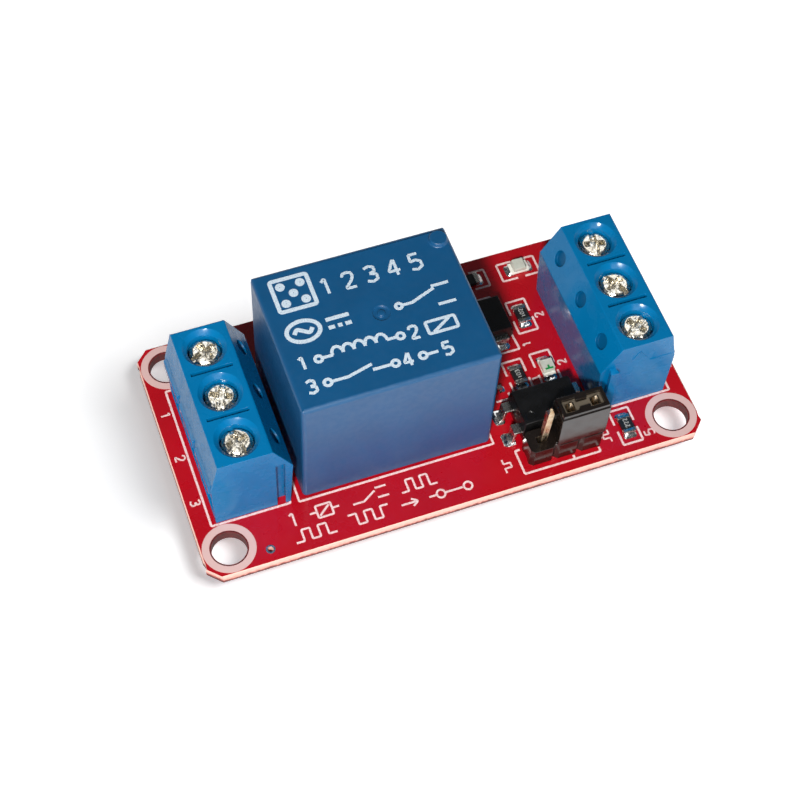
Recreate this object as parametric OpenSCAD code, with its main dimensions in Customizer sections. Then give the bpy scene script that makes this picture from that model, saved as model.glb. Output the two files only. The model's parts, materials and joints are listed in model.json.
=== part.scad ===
// Single-channel relay module: a printed circuit board that carries a sealed changeover relay, two
// three-way screw terminal blocks, a pin header with a jumper cap, and the small driver parts.
// Millimetres. +Z is up, +X runs along the board from the load terminals to the control terminals,
// and the origin is the centre of the four mounting holes on the underside of the board.

/* [Board] */
// Width of the board
board_w = 26.4; // [26:0.1:30]
// Thickness of the board
board_t = 1.2; // [0.8:0.1:2.4]
// Board left free beyond each terminal block
end_margin = 2.3; // [2:0.1:4]
// Length of the field between the relay and the control terminals
field_l = 10.7; // [10.7:0.1:13]
// Diameter of the mounting holes
hole_d = 3.4; // [2.8:0.1:3.6]
// Distance of a mounting hole's centre from the board's edges
hole_inset = 2.7; // [2.4:0.05:3]
// Leg of the chamfer on each corner
corner_cut = 1.35; // [0.6:0.05:1.8]
// Width and depth of the scored bevel along the edges
score = 0.12; // [0.05:0.01:0.3]
// Diameter of the plated via near the front corner
via_d = 0.6; // [0.4:0.05:0.8]
// How far soldered pins stand out under the board
pin_out = 1.5; // [1:0.1:2.5]

/* [Terminal blocks] */
// Distance from pole to pole
pitch = 5.08; // [5:0.01:5.2]
// Depth of the housing at the board
term_depth = 7.7; // [7.5:0.1:8.5]
// Height of the housing
term_h = 10.1; // [9.9:0.1:11]
// Height at which the sloping back begins
slope_z = 6.75; // [6:0.05:7.2]
// How far the sloping back runs in under the top
slope_run = 1.85; // [1.6:0.05:2.1]
// How far the hood over each wire mouth stands out
hood = 0.35; // [0.2:0.05:0.5]
// Radius of the screw head
head_r = 1.5; // [1.4:0.05:1.6]
// Height of the screw head
head_h = 1.6; // [1.4:0.05:1.75]
// Radius of the screw shank
shank_r = 1.15; // [1:0.05:1.25]
// Travel of the wire clamp
clamp_travel = 2.3; // [2:0.05:2.3]
// Width of each wire mouth
mouth_w = 3.6; // [3.2:0.1:3.8]

/* [Relay] */
// Length of the relay case
relay_l = 19; // [18.8:0.1:20]
// Width of the relay case
relay_w = 15.3; // [15.2:0.1:16]
// Height of the relay case
relay_h = 15.25; // [15.2:0.05:16]
// Wall of the relay case
case_wall = 0.85; // [0.6:0.05:0.9]
// Gap between the relay and the load terminals
relay_gap = 0.9; // [0.5:0.1:2]
// Angle that the armature swings through
swing = 2.1; // [1.5:0.1:2.2]

/* [Jumper] */
// Distance from pin to pin
pin_pitch = 2.54; // [2.5:0.01:2.6]
// Width across the square pins
pin_w = 0.64; // [0.5:0.02:0.66]
// Height of the header's plastic strip
strip_h = 2.5; // [2:0.1:2.8]
// Height of the pins above the board
pin_h = 7.7; // [7.4:0.1:9]
// Height of the jumper cap
cap_h = 4.95; // [4.6:0.05:5.2]

/* [Hidden] */
$fn = 48;

poles = 3;
eps = 0.01;                 // overlap that keeps a cut from ending on a face
over = 1;                   // how far a cutting tool runs past the piece

// The board's length follows from what stands on it, from end to end.
board_l = 2 * end_margin + 2 * term_depth + relay_gap + relay_l + field_l;
term_back_x = board_l / 2 - end_margin - term_depth;    // back of either housing, from the centre
relay_x = -term_back_x + relay_gap + relay_l / 2;
field_x = term_back_x - field_l / 2;                    // middle of the driver field
hole_x = board_l / 2 - hole_inset;
hole_y = board_w / 2 - hole_inset;
drill = 0.25;               // clearance of a drilled hole over the pin it takes, across both sides
via_in = [6.3, 1.35];        // the via's distance from the board's edges
via_x = -board_l / 2 + via_in[0];
via_y = -board_w / 2 + via_in[1];
bite_r = 1;                 // shallow bites beside each corner chamfer, left by the panel's tabs
bite_d = 0.15;
bite_gap = 0.45;            // from the chamfer's end to the middle of the bite

// Terminal block, measured from the back (u), from the middle pole (v) and from the board's top (z).
term_l = poles * pitch;
shoulder_z = 6.4;           // the wire side leans back above this height
hood_z = 5;                 // underside of the hoods
hood_gap = 0.75;            // between two hoods
face_lean = 0.12;           // how far the wire side leans out from the board to the hoods
front_lean = 0.65;
foot = 0.35;                // the back leans in by this much at the board
screw_u = slope_run + (term_depth - front_lean - slope_run) / 2;
bore_clear = 0.15;
bore_lip = 0.45;            // dish round the top of the screw bore
sheet = 0.5;                // metal of clamp floor and contact bar
clamp_top = 0.8;
clamp_side = 0.45;
clamp_d = 3.4;
clamp_w = 3.9;
fit = 0.05;                 // running clearance of metal on metal
room = 0.15;                // clearance of metal in the housing
shelf_t = 0.5;              // ring under the screw head
clamp_z = 0.65;             // underside of the clamp when it is open
bar_z = clamp_z + sheet + clamp_travel + fit;
bar_top = bar_z + sheet;
clamp_h = bar_top + fit + clamp_top - clamp_z;
chamber_top = clamp_z + clamp_h + clamp_travel + room;
chamber_u = screw_u - clamp_d / 2 - room;
chamber_d = clamp_d + 2 * room;
bar_w = 2.6;
leg_t = 0.6;
leg_w = 1;
leg_u = chamber_u - 0.3 - leg_t;        // back face of the contact's leg
mouth_z = clamp_z + sheet;
mouth_step = 0.45;                      // depth and width of the step round each mouth
bar_end = chamber_u + chamber_d + 0.6;
head_z = chamber_top + shelf_t;
pocket_r = 0.8;             // round pocket in the sloping back behind each screw
pocket_d = 0.35;
groove_w = 0.75;
groove_d = 0.75;
groove_flare = 0.2;
groove_u = 0.85;
groove_top = 7.4;
tongue_drop = 0.2;
groove_fit = 0.1;
divider_w = 0.35;
divider_d = 0.6;

// Relay, measured from the middle of the case and from its lower rim.
relay_lift = 0.2;           // the case stands this far off the board, on its feet
case_top = 0.9;
base_t = 1.4;
cavity_top = relay_h - case_top;
inner_l = relay_l - 2 * case_wall;
inner_w = relay_w - 2 * case_wall;
iron = 1.2;                 // thickness of the yoke
leaf = 0.2;                 // thickness of the spring leaf
strap = 0.4;                // thickness of the contact straps
yoke_x = 5.7;               // inner face of the yoke's upright
relay_pin_w = 1;
relay_pin_t = 0.5;
side_pin_y = 6;
yoke_w = 8;
core_x = 0.7;
core_r = 2;
pole_r = 3.2;
pole_t = 0.8;
flange = 9.2;
flange_t = 0.6;
winding_r = 4.3;
spool_wall = 0.45;
rivet_r = 1.05;
rivet_h = 0.4;
contact_x = -6.5;
armature_t = 1;
armature_w = 7.4;
blade_w = 3.2;
touch = 0.05;               // gap left where contacts or iron faces close
moving_z = cavity_top - 0.15 - strap - rivet_h - touch;     // upper face of the moving contact, released
pivot_x = yoke_x + iron;    // the armature rocks on the yoke's outer upper edge
common_x = pivot_x + relay_pin_t / 2;   // pin positions, from the middle of the case
coil_pin_x = common_x - 2;
contact_pin_x = common_x - 14.2;
reach = pivot_x - contact_x;
armature_z = moving_z - reach * sin(swing) - rivet_h - leaf - armature_t;
pole_z = armature_z - touch;
no_top = armature_z + armature_t - rivet_h - touch;         // upper face of the normally open contact
yoke_top = base_t + iron;   // upper face of the yoke's foot
bobbin_top = pole_z - pole_t;
coil_post_top = base_t + 2.4;
foot_r = 0.6;

// Header and jumper cap, measured from the first pin.
header_x = field_x - 1.45;
header_y = -board_w / 2 + 2.98;
strip_w = 2.48;
strip_notch = 0.35;
cap_l = 2 * pin_pitch - 0.16;
cap_w = 2.4;
cap_rest = strip_h + fit;
cap_room = 1.44;            // side of each square socket
cap_rim = 0.5;              // height of the set-back rim at the top
cap_step = 0.12;
clip_t = 0.25;

// Driver parts.
seat = 0.05;                // solder under a surface part
opto_l = 6.4;
opto_w = 4.3;
opto_h = 3.2;
opto_span = 8.8;
opto_gap = 0.2;             // from the optocoupler's solder to the control terminals
lead_t = 0.25;
chip_l = 2;
chip_w = 1.25;
chip_h = 0.5;
chip_cap = 0.38;
led_h = 0.35;
lens_h = 0.55;
sma_l = 4.3;
sma_w = 2.6;
sma_h = 2.1;
sma_span = 5.2;
sot_l = 2.9;
sot_w = 1.3;
sot_h = 1;
sot_span = 2.4;

pad_out = 0.45;             // solder beyond the tip of a lead
opto_at = [term_back_x + foot - opto_gap - pad_out - opto_span / 2, header_y + strip_w / 2 + 0.1 + opto_w / 2];
diode_at = [field_x - 0.2, 4.85];
transistor_at = [field_x - 3.35, -1.5];
// Chip parts: where each stands, and how far it is turned.
lamp_x = field_x + 3.05;     // column of the middle lamp and the resistor behind it
middle_y = -1.6;            // row of the middle lamp and the resistor beside it
rear_y = board_w / 2 - 2.55;// row along the rear edge
resistor_at = [[field_x, middle_y, 90], [lamp_x, 5.05, 90], [field_x - 0.55, rear_y, 0],
               [term_back_x + 2.55, header_y, 90]];
led_at = [[field_x + 4.9, rear_y, 0], [lamp_x, middle_y, 90]];

function pole_v(i) = (i - (poles - 1) / 2) * pitch;

module box_at(corner, size) translate(corner) cube(size);

// A rectangle with true round corners.
module round_rect(l, w, r) {
    square([l - 2 * r, w], center = true);
    square([l, w - 2 * r], center = true);
    for (x = [-1, 1], y = [-1, 1])
        translate([x * (l / 2 - r), y * (w / 2 - r)]) circle(r);
}

// Extrudes a profile drawn in the XZ plane along Y, centred on Y = 0.
module along_y(w) translate([0, w / 2, 0]) rotate([90, 0, 0]) linear_extrude(w) children();

// ---------------------------------------------------------------- board

module board_outline() {
    l = board_l / 2;
    w = board_w / 2;
    c = corner_cut;
    difference() {
        polygon([[-l + c, -w], [l - c, -w], [l, -w + c], [l, w - c],
                 [l - c, w], [-l + c, w], [-l, w - c], [-l, -w + c]]);
        for (x = [-1, 1], y = [-1, 1])
            translate([x * (l + bite_r - bite_d), y * (w - c - bite_gap)]) circle(bite_r);
    }
}

// One scored bevel along an edge of the given length, at the upper or lower face.
module bevel_tool(length)
    rotate([90, 0, 0])
        translate([0, 0, -length / 2 - over])
            linear_extrude(length + 2 * over)
                polygon([[-score, over], [-score, 0], [0, -score], [over, -score], [over, over]]);

module edge_bevels()
    for (turn = [0, 90, 180, 270])
        rotate(turn)
            translate([turn % 180 == 0 ? board_l / 2 : board_w / 2, 0, 0])
                bevel_tool(turn % 180 == 0 ? board_w : board_l);

module pin_hole(x, y, d) translate([x, y, -over]) cylinder(h = board_t + 2 * over, d = d);

function leg_hole() = norm([leg_t, leg_w]) + drill;
function relay_pins() = [[common_x, 0], [coil_pin_x, -side_pin_y], [coil_pin_x, side_pin_y],
                         [contact_pin_x, -side_pin_y], [contact_pin_x, side_pin_y]];

module board() color("#b3121f") difference() {
    linear_extrude(board_t) board_outline();
    translate([0, 0, board_t]) edge_bevels();
    mirror([0, 0, 1]) edge_bevels();
    for (x = [-1, 1], y = [-1, 1]) pin_hole(x * hole_x, y * hole_y, hole_d);
    pin_hole(via_x, via_y, via_d);
    for (side = [-1, 1], i = [0 : poles - 1])
        pin_hole(side * (term_back_x + leg_u + leg_t / 2), pole_v(i), leg_hole());
    for (p = relay_pins()) pin_hole(relay_x + p[0], p[1], relay_hole());
    for (i = [0 : 2]) pin_hole(header_x + i * pin_pitch, header_y, pin_w * sqrt(2) + drill);
}

function relay_pin_size(p) = p[1] == 0 ? [relay_pin_t, relay_pin_w] : p[0] > 0 ? [0.6, 0.6] : [relay_pin_w, relay_pin_t];
function relay_hole() = norm([relay_pin_w, relay_pin_t]) + drill;

big_cone = 1.3;              // radius of the solder round a flat pin
small_cone = 0.85;          // and round a header pin

// A solder cone under the board, round a rectangular pin.
module solder_cone(x, y, r, size) translate([x, y, 0]) difference() {
    translate([0, 0, -0.9]) cylinder(h = 0.9, r1 = r * 0.55, r2 = r);
    translate([-size[0] / 2, -size[1] / 2, -over]) cube([size[0], size[1], 2 * over]);
}

module through_hole_solder() color("silver") {
    for (side = [-1, 1], i = [0 : poles - 1])
        solder_cone(side * (term_back_x + leg_u + leg_t / 2), pole_v(i), big_cone, [leg_t, leg_w]);
    for (p = relay_pins())
        solder_cone(relay_x + p[0], p[1], big_cone, relay_pin_size(p));
    for (i = [0 : 2]) solder_cone(header_x + i * pin_pitch, header_y, small_cone, [pin_w, pin_w]);
}

// ---------------------------------------------------------------- terminal blocks

// A block's own frame has its back at x = 0 and its wire side at +x, on the board's upper face.
module on_block(side)
    translate([side * term_back_x, 0, board_t]) rotate(side > 0 ? 0 : 180) children();

module dovetail(u, w, depth, flare)
    polygon([[u, eps], [u - flare, -depth], [u + w + flare, -depth], [u + w, eps]]);

module terminal_housing() difference() {
    union() {
        along_y(term_l)
            polygon([[foot, 0], [0, slope_z], [slope_run, term_h], [term_depth - front_lean, term_h],
                     [term_depth + face_lean, shoulder_z], [term_depth + face_lean, hood_z], [term_depth, 0]]);
        // one hood over each wire mouth
        for (i = [0 : poles - 1]) translate([0, pole_v(i), 0]) along_y(pitch - hood_gap)
            polygon([[term_depth - front_lean, hood_z], [term_depth, hood_z], [term_depth + hood, hood_z + hood],
                     [term_depth + hood, shoulder_z], [term_depth - front_lean, shoulder_z + 2 * hood + front_lean]]);
        translate([0, -term_l / 2, 0]) linear_extrude(groove_top - tongue_drop)
            dovetail(groove_u + groove_fit, groove_w - 2 * groove_fit, groove_d - groove_fit, groove_flare);
    }
    translate([0, term_l / 2, -over]) linear_extrude(groove_top + over)
        dovetail(groove_u, groove_w, groove_d, groove_flare);
    for (i = [0 : poles - 1]) translate([0, pole_v(i), 0]) {
        // chamber that the clamp rises in, and the slot that holds the contact's back end
        box_at([chamber_u, -clamp_w / 2 - room, -over], [chamber_d, clamp_w + 2 * room, chamber_top + over]);
        box_at([leg_u, -bar_w / 2, -over], [chamber_u - leg_u + eps, bar_w, bar_top + over]);
        // wire mouth with a step round it
        box_at([chamber_u + chamber_d - eps, -mouth_w / 2, mouth_z], [term_depth, mouth_w, bar_top - mouth_z]);
        box_at([term_depth - mouth_step, -mouth_w / 2 - mouth_step, mouth_z - mouth_step],
               [term_depth, mouth_w + 2 * mouth_step, bar_top - mouth_z + 2 * mouth_step]);
        translate([screw_u, 0, 0]) {
            translate([0, 0, chamber_top - eps]) cylinder(h = shelf_t + 2 * eps, r = shank_r + fit);
            translate([0, 0, head_z]) cylinder(h = term_h, r = head_r + bore_clear);
            translate([0, 0, term_h - bore_lip])
                cylinder(h = bore_lip + eps, r1 = head_r + bore_clear, r2 = head_r + bore_clear + bore_lip + eps);
        }
        translate([slope_run / 2, 0, (slope_z + term_h) / 2]) rotate([0, -atan2(term_h - slope_z, slope_run), 0])
            translate([0, 0, -pocket_d]) cylinder(h = over, r = pocket_r);
    }
    for (i = [1 : poles - 1])
        box_at([slope_run + 0.65, pole_v(i) - pitch / 2 - divider_w / 2, term_h - divider_d],
               [term_depth - slope_run - front_lean - 1.2, divider_w, divider_d + over]);
}

// The screw turns in place. Its head bears on the ring above the chamber.
module terminal_screw(turned) translate([screw_u, 0, 0]) difference() {
    rotate_extrude()
        polygon([[0, bar_top + 2 * fit], [shank_r - 0.25, bar_top + 2 * fit], [shank_r, bar_top + 2 * fit + 0.25],
                 [shank_r, head_z + fit], [head_r, head_z + fit], [head_r, head_z + fit + head_h - 0.3],
                 [head_r - 0.35, head_z + fit + head_h], [0, head_z + fit + head_h]]);
    translate([0, 0, head_z + fit + head_h]) rotate(turned) {
        cube([2 * head_r + over, 0.5, 1.1], center = true);
        for (a = [0, 90]) rotate(a) cube([1.35 * head_r, 0.6, 1.6], center = true);
    }
}

// The clamp is a cage: the screw lifts it, and its floor presses the wire up against the contact.
module terminal_clamp() difference() {
    box_at([screw_u - clamp_d / 2, -clamp_w / 2, clamp_z], [clamp_d, clamp_w, clamp_h]);
    box_at([screw_u - clamp_d, -clamp_w / 2 + clamp_side, clamp_z + sheet],
           [2 * clamp_d, clamp_w - 2 * clamp_side, clamp_h - sheet - clamp_top]);
    translate([screw_u, 0, 0]) cylinder(h = 2 * clamp_h, r = shank_r + fit);
    // grip lines across the floor
    for (u = [-1, 0, 1])
        translate([screw_u + u, 0, clamp_z + sheet]) rotate([90, 0, 0])
            cylinder(h = clamp_w - 2 * clamp_side, r = 0.15, center = true);
}

module terminal_contact() {
    box_at([leg_u, -bar_w / 2, bar_z], [bar_end - leg_u, bar_w, sheet]);
    box_at([leg_u, -leg_w / 2, -board_t - pin_out], [leg_t, leg_w, bar_z + board_t + pin_out + eps]);
}

plastic_blue = "#0b72b5";
module load_terminal_housing() color(plastic_blue) on_block(-1) terminal_housing();
module control_terminal_housing() color(plastic_blue) on_block(1) terminal_housing();

// Screws, clamps and contacts are numbered from the front of the board.
module load_place(n) on_block(-1) translate([0, -pole_v(n - 1), 0]) children();
module control_place(n) on_block(1) translate([0, pole_v(n - 1), 0]) children();
module load_screw_1() color("silver") load_place(1) terminal_screw(100);
module load_screw_2() color("silver") load_place(2) terminal_screw(65);
module load_screw_3() color("silver") load_place(3) terminal_screw(20);
module load_clamp_1() color("gray") load_place(1) terminal_clamp();
module load_clamp_2() color("gray") load_place(2) terminal_clamp();
module load_clamp_3() color("gray") load_place(3) terminal_clamp();
module load_contact_1() color("silver") load_place(1) terminal_contact();
module load_contact_2() color("silver") load_place(2) terminal_contact();
module load_contact_3() color("silver") load_place(3) terminal_contact();
module control_screw_1() color("silver") control_place(1) terminal_screw(35);
module control_screw_2() color("silver") control_place(2) terminal_screw(120);
module control_screw_3() color("silver") control_place(3) terminal_screw(80);
module control_clamp_1() color("gray") control_place(1) terminal_clamp();
module control_clamp_2() color("gray") control_place(2) terminal_clamp();
module control_clamp_3() color("gray") control_place(3) terminal_clamp();
module control_contact_1() color("silver") control_place(1) terminal_contact();
module control_contact_2() color("silver") control_place(2) terminal_contact();
module control_contact_3() color("silver") control_place(3) terminal_contact();

// ---------------------------------------------------------------- relay

module in_relay() translate([relay_x, 0, board_t + relay_lift]) children();

// Turns what is drawn with the armature flat on the pole back to its released position.
module released()
    translate([pivot_x, 0, armature_z]) rotate([0, swing, 0]) translate([-pivot_x, 0, -armature_z]) children();

// A rectangle standing on the X axis with its two upper corners rounded.
module arch(l, h, r) {
    translate([-l / 2, 0]) square([l, h - r]);
    translate([-l / 2 + r, 0]) square([l - 2 * r, h]);
    for (x = [-1, 1]) translate([x * (l / 2 - r), h - r]) circle(r);
}

// A block with round upright edges and round upper edges.
module soft_block(l, w, h, r) intersection() {
    linear_extrude(h) round_rect(l, w, r);
    along_y(w + over) arch(l, h, r);
    rotate(90) along_y(l + over) arch(w, h, r);
}

module relay_case() color("#0d5a94") in_relay() {
    difference() {
        soft_block(relay_l, relay_w, relay_h, 0.45);
        translate([0, 0, -over]) linear_extrude(cavity_top + over) round_rect(inner_l, inner_w, 0.3);
        translate([0.65, 0.15, relay_h - 0.15]) cylinder(h = over, r = 0.8);
    }
    // moulding gate in its dimple, and the vent nub at the corner
    translate([0.65, 0.15, relay_h - 0.15 - eps]) cylinder(h = 0.2, r = 0.35);
    translate([relay_l / 2 - 1.1, relay_w / 2 - 1.4, relay_h - eps]) cylinder(h = 0.4, r1 = 0.95, r2 = 0.8);
}

module relay_pin_shape(p, z, h) {
    s = relay_pin_size(p);
    box_at([p[0] - s[0] / 2, p[1] - s[1] / 2, z], [s[0], s[1], h]);
}

module relay_base() color("#14476e") in_relay() difference() {
    union() {
        linear_extrude(base_t) round_rect(inner_l, inner_w, 0.3);
        for (x = [-1, 1], y = [-1, 1])
            translate([x * (inner_l / 2 - 0.9), y * 3.2, -relay_lift]) cylinder(h = relay_lift + eps, r = foot_r);
    }
    for (p = relay_pins()) relay_pin_shape(p, -over, base_t + 2 * over);
}

module relay_bobbin() color("#e8e4d4") in_relay() translate([core_x, 0, 0]) difference() {
    union() {
        translate([0, 0, yoke_top]) linear_extrude(flange_t) round_rect(flange, flange, 0.6);
        translate([0, 0, bobbin_top - flange_t]) linear_extrude(flange_t) round_rect(flange, flange, 0.6);
        translate([0, 0, yoke_top]) cylinder(h = bobbin_top - yoke_top, r = core_r + spool_wall);
    }
    translate([0, 0, yoke_top - over]) cylinder(h = bobbin_top - yoke_top + 2 * over, r = core_r);
}

module relay_winding() color("#a8552a") in_relay() translate([core_x, 0, yoke_top + flange_t]) difference() {
    cylinder(h = bobbin_top - yoke_top - 2 * flange_t, r = winding_r);
    translate([0, 0, -over]) cylinder(h = bobbin_top, r = core_r + spool_wall);
}

// The core's lower end is riveted through the yoke's foot, and its head is the pole face.
module relay_core() color("#9aa0a5") in_relay() translate([core_x, 0, 0]) rotate_extrude()
    polygon([[0, base_t], [core_r - 0.5, base_t], [core_r - 0.5, yoke_top], [core_r, yoke_top],
             [core_r, bobbin_top], [pole_r, bobbin_top], [pole_r, pole_z], [0, pole_z]]);

stud_z = pole_z - 2.6;
stud_r = 0.5;
module relay_yoke() color("#8b9196") in_relay() {
    difference() {
        along_y(yoke_w)
            polygon([[core_x - 3, base_t], [pivot_x - 0.5, base_t], [pivot_x, base_t + 0.5], [pivot_x, pole_z],
                     [yoke_x, pole_z], [yoke_x, yoke_top], [core_x - 3, yoke_top]]);
        translate([core_x, 0, 0]) cylinder(h = relay_h / 2, r = core_r - 0.5);
    }
    for (y = [-1.4, 1.4]) translate([pivot_x - eps, y, stud_z]) rotate([0, 90, 0]) cylinder(h = 0.45, r = stud_r);
}

module relay_armature() color("#a2a7ab") in_relay() released()
    translate([0, 0, armature_z]) linear_extrude(armature_t)
        polygon([[pivot_x - fit, -armature_w / 2], [pivot_x - fit, armature_w / 2], [1, armature_w / 2],
                 [core_x - pole_r - 1.4, 2], [core_x - pole_r - 1.4, -2], [1, -armature_w / 2]]);

// One folded leaf: held on the yoke's back, over the armature and out to the moving contact.
fold_w = 6;
module relay_contact_blade() color("#c07a3a") in_relay() difference() {
    union() {
        released() translate([0, 0, armature_z + armature_t]) linear_extrude(leaf) {
            polygon([[pivot_x + fit + leaf, -fold_w / 2], [pivot_x + fit + leaf, fold_w / 2], [3.6, fold_w / 2],
                     [2.4, blade_w / 2], [2.4, -blade_w / 2], [3.6, -fold_w / 2]]);
            translate([contact_x, -blade_w / 2]) square([3 - contact_x, blade_w]);
            translate([contact_x, 0]) circle(blade_w / 2);
        }
        box_at([pivot_x + fit, -fold_w / 2, stud_z - 1.3],
               [leaf, fold_w, armature_z + armature_t + leaf - 0.02 - stud_z + 1.3]);
    }
    for (y = [-1.4, 1.4]) translate([pivot_x, y, stud_z]) rotate([0, 90, 0]) cylinder(h = 1, r = stud_r + 0.15);
    released() translate([contact_x, 0, armature_z]) cylinder(h = 3, r = rivet_r / 2);
}

module relay_moving_contact() color("#cfcfc8") in_relay() released()
    translate([contact_x, 0, armature_z + armature_t]) {
        translate([0, 0, -rivet_h]) cylinder(h = rivet_h, r = rivet_r);
        translate([0, 0, -eps]) cylinder(h = leaf + 2 * eps, r = rivet_r / 2);
        translate([0, 0, leaf]) cylinder(h = rivet_h, r = rivet_r);
    }

// A fixed contact: a pin that rises beside the coil and folds over towards the middle.
module fixed_contact(side, arm_z, faces_up) {
    p = [contact_pin_x, side * side_pin_y];
    outer = side_pin_y + strap / 2;
    relay_pin_shape(p, -relay_lift - board_t - pin_out, base_t + relay_lift + board_t + pin_out + eps);
    box_at([contact_pin_x - 0.5, side > 0 ? outer - strap : -outer, base_t], [2.2, strap, arm_z + strap - base_t]);
    box_at([contact_pin_x - 0.5, side > 0 ? -rivet_r - 0.2 : -outer, arm_z], [2.2, outer + rivet_r + 0.2, strap]);
    translate([contact_x, 0, faces_up ? arm_z + strap - eps : arm_z - rivet_h])
        cylinder(h = rivet_h + eps, r = rivet_r);
}
module relay_normally_closed_contact() color("#c9a25a") in_relay()
    fixed_contact(1, moving_z + touch + rivet_h, false);
module relay_normally_open_contact() color("#c9a25a") in_relay()
    fixed_contact(-1, no_top - rivet_h - strap, true);

module relay_common_pin() color("#c9a25a") in_relay()
    relay_pin_shape([common_x, 0], -relay_lift - board_t - pin_out, stud_z - 2 + relay_lift + board_t + pin_out);
module coil_pin(side)
    relay_pin_shape([coil_pin_x, side * side_pin_y], -relay_lift - board_t - pin_out,
                    coil_post_top + relay_lift + board_t + pin_out);
module relay_coil_pin_front() color("silver") in_relay() coil_pin(-1);
module relay_coil_pin_back() color("silver") in_relay() coil_pin(1);

// ---------------------------------------------------------------- header and jumper

module on_header() translate([header_x, header_y, board_t]) children();

module header_strip() color("#1c1a1c") on_header() difference() {
    for (i = [0 : 2]) translate([i * pin_pitch, 0, 0]) linear_extrude(strip_h) {
        a = pin_pitch / 2;
        b = strip_w / 2;
        c = strip_notch;
        polygon([[-a, -b + c], [-a + c, -b], [a - c, -b], [a, -b + c], [a, b - c], [a - c, b], [-a + c, b], [-a, b - c]]);
    }
    for (i = [0 : 2]) translate([i * pin_pitch, 0, strip_h / 2]) cube([pin_w, pin_w, strip_h + over], center = true);
    // relief under the strip
    translate([-pin_pitch, -0.5, -over]) cube([4 * pin_pitch, 1, over + 0.25]);
}

pin_tip = 0.18;
module pin_side(low, high)
    polygon([[-pin_w / 2 + pin_tip, low], [pin_w / 2 - pin_tip, low], [pin_w / 2, low + 0.5], [pin_w / 2, high - 0.5],
             [pin_w / 2 - pin_tip, high], [-pin_w / 2 + pin_tip, high], [-pin_w / 2, high - 0.5], [-pin_w / 2, low + 0.5]]);
module header_pin(n) color("#d8c48a") on_header() translate([(n - 1) * pin_pitch, 0, 0]) intersection() {
    along_y(2) pin_side(-board_t - pin_out, pin_h);
    rotate(90) along_y(2) pin_side(-board_t - pin_out, pin_h);
}
module header_pin_1() header_pin(1);
module header_pin_2() header_pin(2);
module header_pin_3() header_pin(3);

// The cap stands over the second and third pins. Its frame is midway between them, on the strip.
module on_cap() on_header() translate([1.5 * pin_pitch, 0, cap_rest]) children();
cap_reach = pin_pitch / 2 + cap_room / 2;       // half the length of the cap's cavity
wall_gap = 0.55;                                // half the thickness of the partition
clip_low = 0.7;
clip_high = cap_h - 0.35;
bridge_w = 0.7;                                 // metal that joins the clip's two halves
bridge_h = 1.1;

module jumper_cap_shell() color("#161416") on_cap() difference() {
    union() {
        linear_extrude(cap_h - cap_rim) square([cap_l, cap_w], center = true);
        linear_extrude(cap_h) square([cap_l - 2 * cap_step, cap_w - 2 * cap_step], center = true);
    }
    for (x = [-1, 1]) translate([x * pin_pitch / 2, 0, 0]) {
        translate([0, 0, clip_low]) linear_extrude(cap_h) square([2 * (cap_reach - pin_pitch / 2), cap_room], center = true);
        translate([0, 0, clip_low / 2]) cube([pin_w + 0.2, pin_w + 0.2, clip_low + over], center = true);
    }
    // slot in the partition for the clip's bridge
    translate([0, 0, clip_high - bridge_h]) linear_extrude(cap_h) square([pin_pitch, bridge_w + 2 * fit], center = true);
}

// Two sleeves joined by a bridge. A rounded crest in each grips its pin on either side.
module jumper_cap_clip() color("#c8c3b4") on_cap() {
    side = 2 * (cap_reach - pin_pitch / 2);
    for (x = [-1, 1]) translate([x * pin_pitch / 2, 0, 0]) {
        translate([0, 0, clip_low]) linear_extrude(clip_high - clip_low) difference() {
            square([side, cap_room], center = true);
            square([side - 2 * clip_t, cap_room - 2 * clip_t], center = true);
        }
        for (y = [-1, 1]) translate([0, 0, (clip_low + clip_high) / 2]) intersection() {
            translate([0, y * (pin_w / 2 + 0.03 + 0.8), 0]) rotate([0, 90, 0]) cylinder(h = 0.8, r = 0.8, center = true);
            translate([0, y * (cap_room / 2 - clip_t / 2 - 0.2), 0]) cube([0.8, clip_t + 0.4, 2], center = true);
        }
    }
    translate([-wall_gap - clip_t / 2, -bridge_w / 2, clip_high - bridge_h]) cube([2 * wall_gap + clip_t, bridge_w, bridge_h]);
}

// ---------------------------------------------------------------- driver parts

// A moulded body whose sides draw in above and below the parting line.
module moulded(l, w, h, draft) intersection() {
    along_y(w + over) polygon([[-l / 2 + draft, 0], [l / 2 - draft, 0], [l / 2, h / 2], [l / 2 - draft, h],
                               [-l / 2 + draft, h], [-l / 2, h / 2]]);
    rotate(90) along_y(l + over) polygon([[-w / 2 + draft, 0], [w / 2 - draft, 0], [w / 2, h / 2], [w / 2 - draft, h],
                                          [-w / 2 + draft, h], [-w / 2, h / 2]]);
}

// A gull-wing lead that leaves the body at x = root and ends at x = tip.
module gull_lead(root, tip, exit_z, w, t) along_y(w) {
    knee = root + 0.3 * (tip - root) + 0.3;
    polygon([[root - 0.3, exit_z - t / 2], [knee - t / 2 - 0.05, exit_z - t / 2], [knee - 0.02, seat],
             [tip, seat], [tip, seat + t], [knee + t, seat + t], [knee + t / 2, exit_z + t / 2],
             [root - 0.3, exit_z + t / 2]]);
}

module opto_lead_set()
    for (x = [0, 180], y = [-1, 1]) rotate(x)
        translate([0, y * pin_pitch / 2, 0]) gull_lead(opto_l / 2, opto_span / 2, 0.1 + opto_h / 2, 1.1, lead_t);
module optocoupler_body() color("#222225") translate([opto_at[0], opto_at[1], board_t]) difference() {
    translate([0, 0, 0.1]) moulded(opto_l, opto_w, opto_h, 0.22);
    opto_lead_set();
    translate([-opto_l / 2 + 1, -opto_w / 2 + 1, 0.1 + opto_h - 0.1]) cylinder(h = 1, r = 0.5);
}
module optocoupler_leads() color("silver") translate([opto_at[0], opto_at[1], board_t]) opto_lead_set();

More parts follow.
